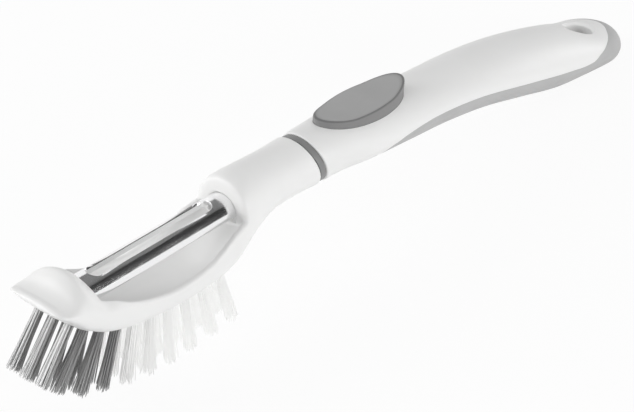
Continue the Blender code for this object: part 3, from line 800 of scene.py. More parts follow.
@dataclass
class Head:
    """The white moulding: nose with its scoop, dish under the blade, hood and neck."""

    half_width: float = 11.2 * MM
    crown: float = 10.0 * MM
    keel: float = 14.6 * MM
    length: float = 101.2 * MM
    lip_x: float = -42.65 * MM
    rim_x: float = 27.25 * MM
    exposed: float = 54.5 * MM
    dish_wall: float = 1.7 * MM
    rim_round: float = 0.5 * MM
    dish_depth: float = 3.4 * MM
    rim_drop: float = 6.5 * MM
    neck_radius: float = 8.4 * MM
    lean_from: float = 0.86
    edge: float = 0.6 * MM
    recess_radius: float = 5.15 * MM
    recess_end: float = 29.75 * MM
    recess_drop: float = 2.46 * MM
    hole_radius: float = 1.62 * MM
    hole_depth: float = 1.2 * MM
    hole_sides: int = 20
    cell: float = 0.33 * MM
    passes: int = 3
    brow_passes: int = 70
    brow_full: float = 2.0 * MM
    brow_reach: float = 6.0 * MM
    brow_inner: float = 6.0 * MM
    brow_outer: float = 7.4 * MM
    brow_low: float = -1.0 * MM
    brow_high: float = 2.0 * MM

    def section(self, place: np.ndarray) -> tuple[np.ndarray, ...]:
        """Sizes of the head's sections: the shares of the table times the head's own sizes.

        Args:
            place: shares of the head's length.

        Returns:
            Half width, crown, widest height, keel, squareness above and squareness below.
        """
        columns = (eased(HEAD_SHARES, column, place) for column in range(1, 7))
        width, middle, top, bottom, high, low = columns
        half_width, crown, widest = self.half_width * width, self.crown * top, self.crown * middle
        return half_width, crown, widest, -self.keel * bottom, high, low

    def keel_height(self, x: np.ndarray, y: float) -> np.ndarray:
        """Height of the underside: the lower half of the section solved for a place across it.

        Args:
            x: places along the head.
            y: place across it.

        Returns:
            The heights.
        """
        place = (np.asarray(x, float) - self.lip_x) / self.length
        half_width, _, middle, keel, _, square = self.section(place)
        return middle - (middle - keel) * (1 - (abs(y) / half_width) ** square) ** (1 / square)

    def outer_skin(self) -> Skin:
        """Skin of the whole head: sections along its length that lean into the slanted joint.

        The lean grows from 0 at the share lean_from of the length to the ring's slant at its end,
        where a quarter circle rounds the edge.

        Returns:
            The skin.
        """
        near_end = 1 - self.edge / self.length
        place = np.concatenate([
            np.linspace(0, 0.2, 60, endpoint=False), np.linspace(0.2, 0.66, 80, endpoint=False),
            np.linspace(0.66, near_end, 80),
        ])
        half_width, top, middle, bottom, high, low = self.section(place)
        flat = oval_rings(half_width, top, middle, bottom, high, low, 144)
        lean = smooth_step(self.lean_from, near_end, place)[:, None] * RING_SLANT
        x = self.lip_x + place[:, None] * self.length - lean * (flat[..., 1] - NECK_HEIGHT)
        rings = np.concatenate([x[..., None], flat], axis=-1)
        turn = np.linspace(0, math.pi / 2, 8)[1:]
        ends = joint_edge(rings[-1], self.neck_radius, self.edge, turn)
        return Skin.over_rings(np.concatenate([rings, ends]))

    def dish_tool(self) -> Skin:
        """Form that is cut out between nose and hood: a bowl at the rim's height with all above it.

        The bowl is the lower half of a superellipse across. Its rim, depth and squareness change
        along X.

        Returns:
            The skin.
        """
        place = np.linspace(0, 1, 130)
        rim = -self.rim_drop * eased(DISH_SHARES, 1, place)
        depth = self.dish_depth * eased(DISH_SHARES, 2, place)
        power = 2 / eased(DISH_SHARES, 3, place)
        x = place * self.exposed - self.rim_x
        half_width = self.section((x - self.lip_x) / self.length)[0]
        bowl, inside = arc(1.0, 180, 360, 64)[None, :, :], half_width - self.dish_wall
        y = np.sign(bowl[..., 0]) * np.abs(bowl[..., 0]) ** power[:, None] * inside[:, None]
        z = rim[:, None] - np.abs(bowl[..., 1]) ** power[:, None] * depth[:, None]
        reach, above = half_width + OVERRUN, np.full_like(rim, self.crown + OVERRUN)
        outer, lip = half_width - self.rim_round, rim - self.rim_round - OVERRUN
        corners = ((-reach, above), (-reach, lip), (-outer, rim))
        left = np.stack([np.stack(corner, -1) for corner in corners], axis=1)
        outline = np.concatenate([left, np.stack([y, z], -1), left[:, ::-1] * (-1, 1)], axis=1)
        return Skin.along_x(x, outline)

    def recess_tool(self) -> Skin:
        """Form of the pocket for the blade: a half round window with a straight part below, along X.

        Returns:
            The skin.
        """
        window = np.concatenate([
            arc(self.recess_radius, 0, 180, 48),
            [(-self.recess_radius, -self.recess_drop), (self.recess_radius, -self.recess_drop)],
        ])
        return Skin.along_x(np.array([-self.recess_end, self.recess_end]), window)

    def hole_tool(self, tufts: "Bristles") -> Skin:
        """Short round holes at the roots of all tufts: two rings about each tuft's axis.

        Args:
            tufts: the bristles, which say where each tuft starts and where it points.

        Returns:
            One skin for all holes.
        """
        skins = []
        turn = np.linspace(0, 2 * math.pi, self.hole_sides, endpoint=False)[:, None]
        for row in range(len(TUFT_LEAN_DEG)):
            for side in Side:
                root, along, across, forward = tufts.axis(row, side)
                ring = root + self.hole_radius * (np.cos(turn) * across + np.sin(turn) * forward)
                ends = ring - along * self.hole_depth, ring + along * OVERRUN
                skins.append(Skin.over_rings(np.stack(ends)))
        return Skin.together(skins)

    def round_brow(self, head: bpy.types.Object) -> None:
        """Round the hood's front edge, which is softer than the other edges, by relaxing it alone.

        The share of relaxing falls off with the way from the edge along X and towards the blade's axis.

        Args:
            head: the moulding, laid in even cells.
        """
        places = np.empty(3 * len(head.data.vertices), np.float32)
        head.data.vertices.foreach_get("co", places)
        places = STANCE.lift(places.reshape(-1, 3).astype(float))
        x, y, z = places[:, 0], places[:, 1], places[:, 2]
        share = smooth_step(self.rim_x + self.brow_reach, self.rim_x + self.brow_full, x)
        share = share * (x > self.rim_x - OVERRUN)
        share = share * smooth_step(self.brow_inner, self.brow_outer, np.hypot(y, z))
        share = share * smooth_step(self.brow_low, self.brow_high, z)
        group, levels = head.vertex_groups.new(name="brow"), 10
        for level in range(1, levels + 1):
            chosen = np.flatnonzero(np.round(levels * share) == level)
            group.add(chosen.tolist(), level / levels, "REPLACE")
        relax = head.modifiers.new("relax_brow", "SMOOTH")
        relax.factor, relax.iterations, relax.vertex_group = 0.5, self.brow_passes, "brow"
        settle(head)

    def build(self, tufts: "Bristles", material: bpy.types.Material) -> bpy.types.Object:
        """The head as one moulding with soft edges.

        Args:
            tufts: the bristles, which say where the holes go.
            material: the white plastic.

        Returns:
            The piece.
        """
        head = self.outer_skin().make("head_moulding", material)
        carve(head, self.dish_tool().make("tool_dish"))
        carve(head, self.recess_tool().make("tool_recess"))
        carve(head, self.hole_tool(tufts).make("tool_holes"))
        soften(head, self.cell, self.passes)
        self.round_brow(head)
        head.data.materials.clear()
        head.data.materials.append(material)
        return mount(head, Body.BRUSH, "white_plastic", "head_frame")


# Peeler

@dataclass
class Peeler:
    """The blade: a half round channel of sheet steel with a slot whose edges are ground thin."""

    radius: float = 5.1 * MM
    sheet: float = 0.7 * MM
    half_length: float = 29.45 * MM
    slot_half_width: float = 2.5 * MM
    slot_front: float = -23.75 * MM
    slot_back: float = 21.85 * MM
    slot_squareness: float = 2.6
    ground_width: float = 1.05 * MM
    ground_depth: float = 0.42 * MM
    lip: float = 0.06 * MM
    inner_lip: float = 0.10 * MM
    edge: float = 0.12 * MM
    ear_radius: float = 2.3 * MM
    around: int = 70

    def loops(self) -> tuple[np.ndarray, np.ndarray, np.ndarray]:
        """Edges of the slot and of the sheet on the rolled out sheet, and where the slot is ground.

        The slot is a stadium in plan whose rear end is fuller than a half circle, by its squareness.
        Its place across is carried onto the sheet as radius times the angle whose sine is Y / radius.
        The sheet's edge is a rectangle half a turn wide.

        Returns:
            Both loops as arrays of X and length across, and the share of grinding at each point.
        """
        r, n = self.slot_half_width, self.around
        front, back, wide = self.slot_front + r, self.slot_back - r, self.radius * math.pi / 2
        run = np.linspace(0, 1, n, endpoint=False)
        half = math.pi * (run - 0.5)
        square = 2 / self.slot_squareness
        inner = np.concatenate([
            np.stack([front + run * (back - front), np.full(n, r)], 1),
            np.stack([
                back + r * np.abs(np.cos(half)) ** square,
                -r * np.sign(np.sin(half)) * np.abs(np.sin(half)) ** square,
            ], 1),
            np.stack([back - run * (back - front), np.full(n, -r)], 1),
            np.stack([front - r * np.cos(half), r * np.sin(half)], 1),
        ])
        inner[:, 1] = self.radius * np.arcsin(np.clip(inner[:, 1] / self.radius, -1, 1))
        long, n0 = self.half_length, np.zeros(n)
        outer = np.concatenate([
            np.stack([-long + run * 2 * long, n0 + wide], 1),
            np.stack([n0 + long, wide - run * 2 * wide], 1),
            np.stack([long - run * 2 * long, n0 - wide], 1),
            np.stack([n0 - long, -wide + run * 2 * wide], 1),
        ])
        ends = np.minimum(smooth_step(0, 0.04, run), 1 - smooth_step(0.96, 1, run))
        ground = np.concatenate([ends, n0, ends, n0])
        return inner, outer, ground

    def sheet_skin(self) -> Skin:
        """Closed skin of the sheet: a profile through its thickness, carried round the slot.

        Each ring lies at a distance from the slot's edge towards the sheet's edge and at a depth in the
        thickness. Near the slot the outer face falls away in a straight line, which is the grinding.

        Returns:
            The skin.
        """
        inner, outer, ground = self.loops()
        span = outer - inner
        length = np.linalg.norm(span, axis=1, keepdims=True)
        unit = span / length
        e, t, w, lip = self.edge, self.sheet, self.ground_width, self.lip
        near = [0.0, 0.5 * lip, self.inner_lip, 0.3 * w, 0.6 * w, 0.9 * w, w, 1.1 * w, 1.5 * w]
        rings = []
        corner = np.radians(np.linspace(0, 90, 4))

        def ring(distance: np.ndarray, depth: np.ndarray | float) -> np.ndarray:
            """One ring at a distance from the slot's edge and a depth below the outer face.

            Args:
                distance: way from the slot's edge on the rolled out sheet, for each point.
                depth: way below the outer face.

            Returns:
                An array of points by 3.
            """
            flat = inner + unit * distance
            angle = flat[:, 1] / self.radius
            radius = self.radius - depth
            return np.stack([flat[:, 0], radius * np.sin(angle), radius * np.cos(angle)], axis=1)

        for distance in near:
            fall = self.ground_depth * ground * np.clip(1 - distance / w, 0, 1)
            fall = fall + lip * (distance == 0)
            rings.append(ring(np.full_like(length, distance), fall))
        for share in np.linspace(0, 1, 12)[1:]:
            rings.append(ring(1.5 * w + share * (length - e - 1.5 * w), 0.0))
        for angle in corner[1:]:
            rings.append(ring(length - e + e * math.sin(angle), e * (1 - math.cos(angle))))
        for angle in corner[::-1]:
            rings.append(ring(length - e + e * math.sin(angle), t - e * (1 - math.cos(angle))))
        for share in np.linspace(1, 0, 10)[1:]:
            rings.append(ring(self.inner_lip + share * (length - e - self.inner_lip), t))
        rings.append(ring(np.zeros_like(length), t - lip))
        return Skin.over_rings(np.stack(rings), looped=True)

    def ear_skin(self, side: int) -> Skin:
        """End plate with the pin's bearing: a plate across X whose outline is two half circles.

        Args:
            side: -1 for the front end, 1 for the rear end.

        Returns:
            The skin.
        """
        outline = np.concatenate([
            arc(self.radius - self.sheet / 2, 0, 180, 40), arc(self.ear_radius, 180, 360, 30),
        ])
        depths = np.array([0.0, self.lip, self.sheet - self.lip, self.sheet])
        scale = np.array([0.97, 1.0, 1.0, 0.97])[:, None, None]
        return Skin.along_x(side * (self.half_length - depths), outline[None] * scale)

    def build(self, material: bpy.types.Material) -> bpy.types.Object:
        """The blade as one piece.

        Args:
            material: the polished steel.

        Returns:
            The piece.
        """
        skin = Skin.together([self.sheet_skin(), self.ear_skin(-1), self.ear_skin(1)])
        blade = skin.make("peeler_sheet", material)
        shade(blade, 32)
        blade.visible_diffuse = False
        return mount(blade, Body.BLADE, "polished_steel", "peeler_blade")


# Collar

@dataclass
class Collar:
    """The grey ring in the slanted joint between neck and handle."""

    ring_x: float = 58.55 * MM
    width: float = 2.6 * MM
    radius: float = 8.0 * MM
    front_gap: float = 0.3 * MM
    back_gap: float = 0.08 * MM
    edge: float = 0.25 * MM

    def build(self, material: bpy.types.Material) -> bpy.types.Object:
        """The ring: circles on a profile with rounded corners, laid in the slanted plane.

        Args:
            material: the ring's plastic.

        Returns:
            The piece.
        """
        corner = np.radians(np.linspace(0, 90, 7))
        e, start = self.edge, self.ring_x + self.front_gap
        end = self.ring_x + self.width - self.back_gap
        inwards = e * (1 - np.cos(corner))
        places = np.concatenate([start + inwards, end - inwards[::-1]])
        radii = self.radius - e * (1 - np.sin(np.concatenate([corner, corner[::-1]])))
        turn = np.linspace(0, 2 * math.pi, 128, endpoint=False)
        y, z = radii[:, None] * np.cos(turn), radii[:, None] * np.sin(turn)
        rings = np.stack([places[:, None] - RING_SLANT * z, y, NECK_HEIGHT + z], axis=-1)
        ring = Skin.over_rings(rings).make("collar", material)
        shade(ring)
        return mount(ring, Body.BRUSH, "ring_grey", "collar_ring")


# Handle

@dataclass
class Handle:
    """The white handle, the grey grip below its parting line and the pad let into its back."""

    start: float = 61.15 * MM
    length: float = 149.1 * MM
    half_width: float = 12.7 * MM
    half_height: float = 8.2 * MM
    drop: float = 22.0 * MM
    end_round: float = 13.5 * MM
    joint_radius: float = 8.382 * MM
    edge: float = 0.5 * MM
    seam: float = 0.05 * MM
    hole_radius: float = 4.3 * MM
    hole_rim_radius: float = 5.6 * MM
    hole_rim_depth: float = 2.4 * MM
    hole_flare_end: float = 1.9
    hole_nose_reach: float = 7.8 * MM
    hole_from_end: float = 16.7 * MM
    liner_radius: float = 5.8 * MM
    liner_rise: float = 5.4 * MM
    turned_sides: int = 96
    pad_x: float = 84.35 * MM
    pad_half_length: float = 18.4 * MM
    pad_half_width: float = 7.0 * MM
    pad_top: float = 9.3 * MM
    pad_rise: float = 1.8 * MM
    pad_depth: float = 4.6 * MM
    pad_edge: float = 0.5 * MM
    pad_tilt: float = math.radians(1.3)
    pad_pocket_gap: float = 0.08 * MM
    pad_points: int = 160

    def centre(self, place: np.ndarray) -> np.ndarray:
        """Height of the centre line at shares of the length."""
        return -self.drop * eased(HANDLE_SHARES, 3, place)

    def section(self, place: np.ndarray) -> tuple[np.ndarray, np.ndarray, np.ndarray]:
        """Sizes of the handle's sections; towards the end width and height follow a quarter circle.

        Args:
            place: shares of the handle's length.

        Returns:
            Half width, half height and the height of the centre line.
        """
        left = self.length * (1 - np.asarray(place, float))
        reach = np.clip(1 - left / self.end_round, 0, 1)
        rounding = np.sqrt(np.clip(1 - reach * reach, 0, 1))
        width = self.half_width * eased(HANDLE_SHARES, 1, place) * rounding
        height = self.half_height * eased(HANDLE_SHARES, 2, place) * rounding ** 0.75
        return width, height, self.centre(place)

    def body_skin(self) -> Skin:
        """Skin of the whole handle: ellipses along its length that lean into the slanted joint.

        Returns:
            The skin.
        """
        bend = 1 - self.end_round / self.length
        first = self.edge / self.length
        turn = np.linspace(0, math.pi / 2, 44)[1:-1]
        place = np.concatenate([np.linspace(first, bend, 210), bend + (1 - bend) * np.sin(turn)])
        half_width, half_height, centre = self.section(place)
        flat = oval_rings(half_width, centre + half_height, centre, centre - half_height, points=128)
        lean = RING_SLANT * (1 - smooth_step(0.0, 0.1, place))[:, None] * (flat[..., 1] - NECK_HEIGHT)
        x = self.start + place[:, None] * self.length - lean
        rings = np.concatenate([x[..., None], flat], axis=-1)
        turn = np.linspace(math.pi / 2, 0, 8)[:-1]
        starts = joint_edge(rings[0], self.joint_radius, -self.edge, turn)
        return Skin.over_rings(np.concatenate([starts, rings]))

    def above_parting(self, shift: float) -> Skin:
        """Everything above the parting line: its curve in X and Z carried across Y.

        Args:
            shift: how far the line is moved up.

        Returns:
            The skin.
        """
        place = np.linspace(PARTING_SHARES[0, 0], PARTING_SHARES[-1, 0], 260)
        height = self.centre(place) + self.half_height * eased(PARTING_SHARES, 1, place) + shift
        x = self.start + place * self.length
        before, after, top, beside = self.start - 12 * MM, x[-1] + MM, 30 * MM, 20 * MM
        line = np.concatenate([
            [(before, top), (before, height[0])], np.stack([x, height], 1),
            [(after, height[-1]), (after, top)],
        ])
        sides = [np.insert(line, 1, y, axis=1) for y in (-beside, beside)]
        return Skin.over_rings(np.stack(sides))

    def hole_places(self) -> tuple[float, float, float]:
        """Place of the hanging hole.

        Returns:
            Its X, and the heights of crown and keel there.
        """
        place = 1 - self.hole_from_end / self.length
        _, (half_height,), (centre,) = self.section(np.array([place]))
        x = self.start + place * self.length
        return x, float(centre + half_height), float(centre - half_height)

    def hole_tool(self) -> Skin:
        """Form of the hanging hole: a straight bore that opens like a trumpet through its rim.

        The radius grows by the cube of the way up, and reaches the rim's radius at the crown's height.
        The trumpet leans with the crown, just so far that its skirt runs out in it at hole_nose_reach.
        A small chamfer breaks the bore's lower edge.

        Returns:
            The skin.
        """
        x, crown, keel = self.hole_places()
        radius, depth = self.hole_radius, self.hole_rim_depth
        opening = self.hole_rim_radius - radius
        nose_place = (x - self.hole_nose_reach - self.start) / self.length
        _, (half_height,), (centre,) = self.section(np.array([nose_place]))
        skirt = depth * (((self.hole_nose_reach - radius) / opening) ** (1 / 3) - 1)
        lean = (float(centre + half_height) - crown - skirt) / self.hole_nose_reach
        up = np.linspace(0, self.hole_flare_end, 30)
        flare = np.stack([radius + opening * up ** 3, crown - depth + depth * up], axis=1)
        mouth = [
            (0.9 * radius, keel - 2 * OVERRUN), (radius + OVERRUN, keel - OVERRUN),
            (radius + 0.5 * MM, keel - 0.1 * MM), (radius, keel + 0.5 * MM),
        ]
        profile = np.concatenate([mouth, flare, [(flare[-1, 0] + OVERRUN, crown + 5 * MM)]])
        tool = Skin.turned(profile, (x, 0.0), self.turned_sides)
        share = smooth_step(crown - depth, crown, tool.points[:, 2])
        tool.points[:, 2] -= lean * (tool.points[:, 0] - x) * share
        return tool

    def liner_tool(self, grow: float) -> Skin:
        """White sleeve round the hole, from the white part down through the grip's lower wall.

        Args:
            grow: how much wider it is than the sleeve itself.

        Returns:
            The skin.
        """
        x, crown, keel = self.hole_places()
        radius = self.liner_radius + grow
        profile = np.array([(radius, keel - OVERRUN), (radius, (crown + keel) / 2 + self.liner_rise)])
        return Skin.turned(profile, (x, 0.0), self.turned_sides)

    def pad_levels(self, grow: float, cutter: bool) -> Skin:
        """Skin of the pad: ovals of the pad's outline, each at its own share and height.

        The outline is an ellipse. Its height rises towards both ends by the rise times the three halves
        power of the way past two fifths of the half length. A quarter circle rounds the upper edge.

        Args:
            grow: how much larger than the pad it is on every side.
            cutter: a plain form for the pocket, without the rounded edge.

        Returns:
            The skin.
        """
        turn = np.linspace(0, 2 * math.pi, self.pad_points, endpoint=False)
        outline = np.stack([np.cos(turn), np.sin(turn)], axis=1)
        e = self.pad_edge / self.pad_half_width
        if cutter:
            levels = np.array([(1.0, -self.pad_depth - grow, 0), (1.0, OVERRUN, 1)])
        else:
            corner = np.radians(np.linspace(0, 90, 8))
            inwards, down = e * (1 - np.cos(corner)), self.pad_edge * (1 - np.sin(corner))
            levels = np.concatenate([
                [(1.0, -self.pad_depth, 0)],
                np.stack([1 - inwards, -down, np.ones_like(corner)], 1),
                [(share, 0.0, 1) for share in np.linspace(1 - e, 0.02, 16)[1:]],
            ])
        size = np.array([self.pad_half_length + grow, self.pad_half_width + grow])
        flat = levels[:, :1, None] * outline[None] * size
        along = np.abs(levels[:, :1] * outline[None, :, 0])
        rise = np.clip((along - 0.4) / 0.6, 0, 1) ** 1.5 * self.pad_rise * levels[:, 2:]
        height = levels[:, 1:2] + rise
        c, s = math.cos(self.pad_tilt), math.sin(self.pad_tilt)
        x = self.pad_x + c * flat[..., 0] + s * height
        z = self.pad_top - s * flat[..., 0] + c * height
        return Skin.over_rings(np.stack([x, flat[..., 1], z], axis=-1))

    def build(self, finishes: dict[str, bpy.types.Material]) -> None:
        """The white handle, the grip and the pad.

        Args:
            finishes: material of each slot.
        """
        handle = self.body_skin().make("handle_moulding", finishes["white_plastic"])
        white = self.above_parting(0.0).make("tool_above")
        carve(white, self.liner_tool(0.0).make("tool_liner"), "UNION")
        carve(handle, white, "INTERSECT")
        carve(handle, self.hole_tool().make("tool_hole"))
        carve(handle, self.pad_levels(self.pad_pocket_gap, True).make("tool_pocket"))
        shade(handle, 30)
        mount(handle, Body.BRUSH, "white_plastic", "handle_shell")

        grip = self.body_skin().make("grip_sleeve", finishes["grip_grey"])
        carve(grip, self.above_parting(-self.seam).make("tool_above"))
        carve(grip, self.liner_tool(self.seam).make("tool_liner"))
        carve(grip, self.hole_tool().make("tool_hole"))
        shade(grip, 30)
        mount(grip, Body.BRUSH, "grip_grey", "soft_grip")

        pad = self.pad_levels(0.0, False).make("pad_inlay", finishes["pad_grey"])
        # Painted shade: the rim attribute marks the pad's wall and upper edge, which the pad_grey
        # material darkens.
        level = np.arange(len(pad.data.vertices)) // self.pad_points
        rim = np.interp(level, *zip(*PAD_PAINTED_SHADE_SHARES)).astype(np.float32)
        pad.data.attributes.new("rim", "FLOAT", "POINT").data.foreach_set("value", rim)
        shade(pad, 40)
        mount(pad, Body.BRUSH, "pad_grey", "thumb_pad")


# Bristles

@dataclass
class Bristles:
    """Thirty tufts of nylon filament, in rows of three along the keel."""

    head: Head
    spacing: float = 5.3 * MM
    first_from_lip: float = 7.0 * MM
    last_from_lip: float = 62.6 * MM
    length_front: float = 17.8 * MM
    length_rear: float = 20.4 * MM
    filaments: int = 64
    filament_radius: float = 0.125 * MM
    bundle_radius: float = 1.42 * MM
    packing: float = 0.92
    spread: float = 1.5
    ragged: float = 0.09
    rooted: float = 0.9 * MM
    stray: float = 0.16 * MM
    bow: float = 0.22 * MM
    floor_play: float = 0.2 * MM
    tip_size: float = 0.45
    sides: int = 6
    grey_rows: int = 4
    stations: tuple[float, ...] = (0.0, 0.15, 0.32, 0.5, 0.68, 0.85, 0.975, 1.0)

    def row_x(self, row: int) -> float:
        """X of a row, spaced evenly along the curve of the keel.

        Args:
            row: row from the nose, from 0.

        Returns:
            Its X.
        """
        first, last = self.head.lip_x + self.first_from_lip, self.head.lip_x + self.last_from_lip
        x = np.linspace(first, last, 200)
        z = self.head.keel_height(x, 0.0)
        run = np.concatenate([[0], np.cumsum(np.hypot(np.diff(x), np.diff(z)))])
        return float(np.interp(run[-1] * row / (len(TUFT_LEAN_DEG) - 1), run, x))

    def axis(self, row: int, side: Side) -> tuple[np.ndarray, ...]:
        """Root of a tuft on the underside, the way it points and the two ways across it.

        Args:
            row: row from the nose, from 0.
            side: place across the head.

        Returns:
            The root, and the directions along the tuft, across the head and along the head.
        """
        x, y = self.row_x(row), side.value * self.spacing
        lean = math.radians(TUFT_LEAN_DEG[row])
        along = np.array([-math.sin(lean), 0.0, -math.cos(lean)])
        across = np.array([0.0, 1.0, 0.0])
        root = np.array([x, y, float(self.head.keel_height(x, y))])
        return root, along, across, np.cross(along, across)

    def tuft_length(self, row: int) -> float:
        """Length of a row's bristles: a quarter sine from the front row's to the rear rows'."""
        share = math.sin(math.pi / 2 * min(row / (len(TUFT_LEAN_DEG) - 3), 1))
        return self.length_front + (self.length_rear - self.length_front) * share

    def tuft(self, row: int, side: Side, material: bpy.types.Material) -> bpy.types.Object:
        """One tuft: filaments on a sunflower's spiral that fan out, bend a little and end unevenly.

        Filament k starts at the bundle's radius times the square root of its share, turned by the
        golden angle. Its centre moves out with the power 1.3 of the way along, and bends with the
        square. In the first row the filaments that face the nose are painted paler than all other grey
        ones: a painted lit side where the light from the nose falls.

        Args:
            row: row from the nose, from 0.
            side: place across the head.
            material: the nylon.

        Returns:
            The piece.
        """
        root, along, across, forward = self.axis(row, side)
        chance = np.random.default_rng(1000 + 10 * row + side.value)
        count = self.filaments
        share = np.sqrt((np.arange(count) + 0.5) / count)
        turn = np.arange(count) * math.pi * (3 - math.sqrt(5)) + chance.uniform(-0.15, 0.15, count)
        offset = self.bundle_radius * share * self.packing
        flat = np.stack([offset * np.cos(turn), offset * np.sin(turn)], axis=1)
        lean = flat * (self.spread - 1) + chance.normal(0, self.stray, (count, 2))
        bend = chance.normal(0, self.bow, (count, 2))
        long = self.tuft_length(row) * (1 - self.ragged * chance.random(count) ** 1.6)
        tips = flat + lean + bend
        cap = self.floor_limit(root + tips[:, :1] * across + tips[:, 1:] * forward, along)
        long = np.minimum(long, cap - self.floor_play * chance.random(count))
        reach = np.array(self.stations)
        out = reach[None, :, None]
        way = flat[:, None] + lean[:, None] * out ** 1.3 + bend[:, None] * out ** 2
        depth = -self.rooted + (long[:, None] + self.rooted) * reach[None, :]
        centre = root + way[..., :1] * across + way[..., 1:] * forward + depth[..., None] * along
        thick = self.filament_radius * chance.uniform(0.85, 1.12, count)
        taper = np.where(reach >= 1.0, self.tip_size, 1.0)
        angle = np.linspace(0, 2 * math.pi, self.sides, endpoint=False)
        angle = angle + chance.uniform(0, 1, (count, 1))
        round_way = np.cos(angle)[..., None] * across + np.sin(angle)[..., None] * forward
        radius = (thick[:, None] * taper)[:, :, None, None]
        points = centre[:, :, None, :] + radius * round_way[:, None, :, :]
        stations, sides = len(reach), self.sides
        grid = np.arange(count * stations * sides).reshape(count, stations, sides)
        near, far = grid[:, :-1], grid[:, 1:]
        quads = np.stack([near, np.roll(near, -1, 2), np.roll(far, -1, 2), far], axis=-1).reshape(-1, 4)
        faces = quads.tolist() + grid[:, 0].tolist() + grid[:, -1, ::-1].tolist()
        colour = "grey" if row < self.grey_rows else "white"
        place = f"{row + 1:02d}_{side.name.lower()}"
        piece = Skin(points.reshape(-1, 3), faces).make(f"{colour}_bristles_{place}", material)
        # Painted light: the first row's filaments that face the nose get a pale tone, a painted lit
        # side, while the rest keep their own dark tone.
        painted_lit_side = smooth_step(0.25, 0.62, -flat[:, 1] / self.bundle_radius) * (row == 0)
        tone = 0.28 * chance.random(count) * (1 - painted_lit_side) + painted_lit_side * chance.uniform(0.8, 1.0, count)
        tone = np.repeat(tone if row < self.grey_rows else chance.random(count), stations * sides)
        along_share = np.tile(np.repeat(reach, sides), count)
        for name, values in (("tone", tone), ("reach", along_share)):
            attribute = piece.data.attributes.new(name, "FLOAT", "POINT")
            attribute.data.foreach_set("value", values.astype(np.float32))
        shade(piece, 60)
        piece.visible_shadow = piece.visible_diffuse = row < self.grey_rows
        return mount(piece, Body.BRUSH, f"{colour}_bristle", f"{colour}_tuft_{place}")

    def floor_limit(self, roots: np.ndarray, along: np.ndarray) -> np.ndarray:
        """Lengths at which filaments reach the floor: the roots' heights over their direction's fall.

        Args:
            roots: where each filament would start if it were straight.
            along: the way the tuft points.

        Returns:
            The lengths, less a tenth of a millimetre.
        """
        low = STANCE.lay(roots)[..., 2]
        fall = low - STANCE.lay(roots + along)[..., 2]
        return low / np.maximum(fall, 1e-6) - 0.1 * MM

    def build(self, finishes: dict[str, bpy.types.Material]) -> None:
        """All tufts, row by row.

        Args:
            finishes: material of each slot.
        """
        for row in range(len(TUFT_LEAN_DEG)):
            material = finishes["grey_bristle" if row < self.grey_rows else "white_bristle"]
            for side in Side:
                self.tuft(row, side, material)


# Studio

@dataclass(frozen=True)
class Lamp:
    """One square soft lamp that looks at the brush's middle."""

    name: str
    place: tuple[float, float, float]
    watts: float
    size: float = 0.6

    def build(self) -> None:
        """The lamp in its place, with its Z away from the brush and one side level."""
        lamp = bpy.data.lights.new(self.name, "AREA")
        lamp.shape, lamp.size, lamp.energy = "SQUARE", self.size, self.watts
        body = add_object(self.name, lamp)
        way = np.array(self.place) / np.linalg.norm(self.place)
        side = np.cross((0.0, 0.0, 1.0), way)
        side = side / np.linalg.norm(side)
        turn = Matrix(np.stack([side, np.cross(way, side), way], axis=1).tolist()).to_4x4()
        body.matrix_world = Matrix.Translation(self.place) @ turn


# Corners of a level square of half side 1
SQUARE = np.array([(-1.0, -1.0, 0.0), (1.0, -1.0, 0.0), (1.0, 1.0, 0.0), (-1.0, 1.0, 0.0)])

LAMPS = (
    Lamp("lamp_left", (-0.80, 0.65, 0.42), 7.2),
    Lamp("lamp_near", (0.20, -1.10, 0.24), 7.0),
    Lamp("lamp_right", (1.15, -0.30, 0.12), 3.4),
)


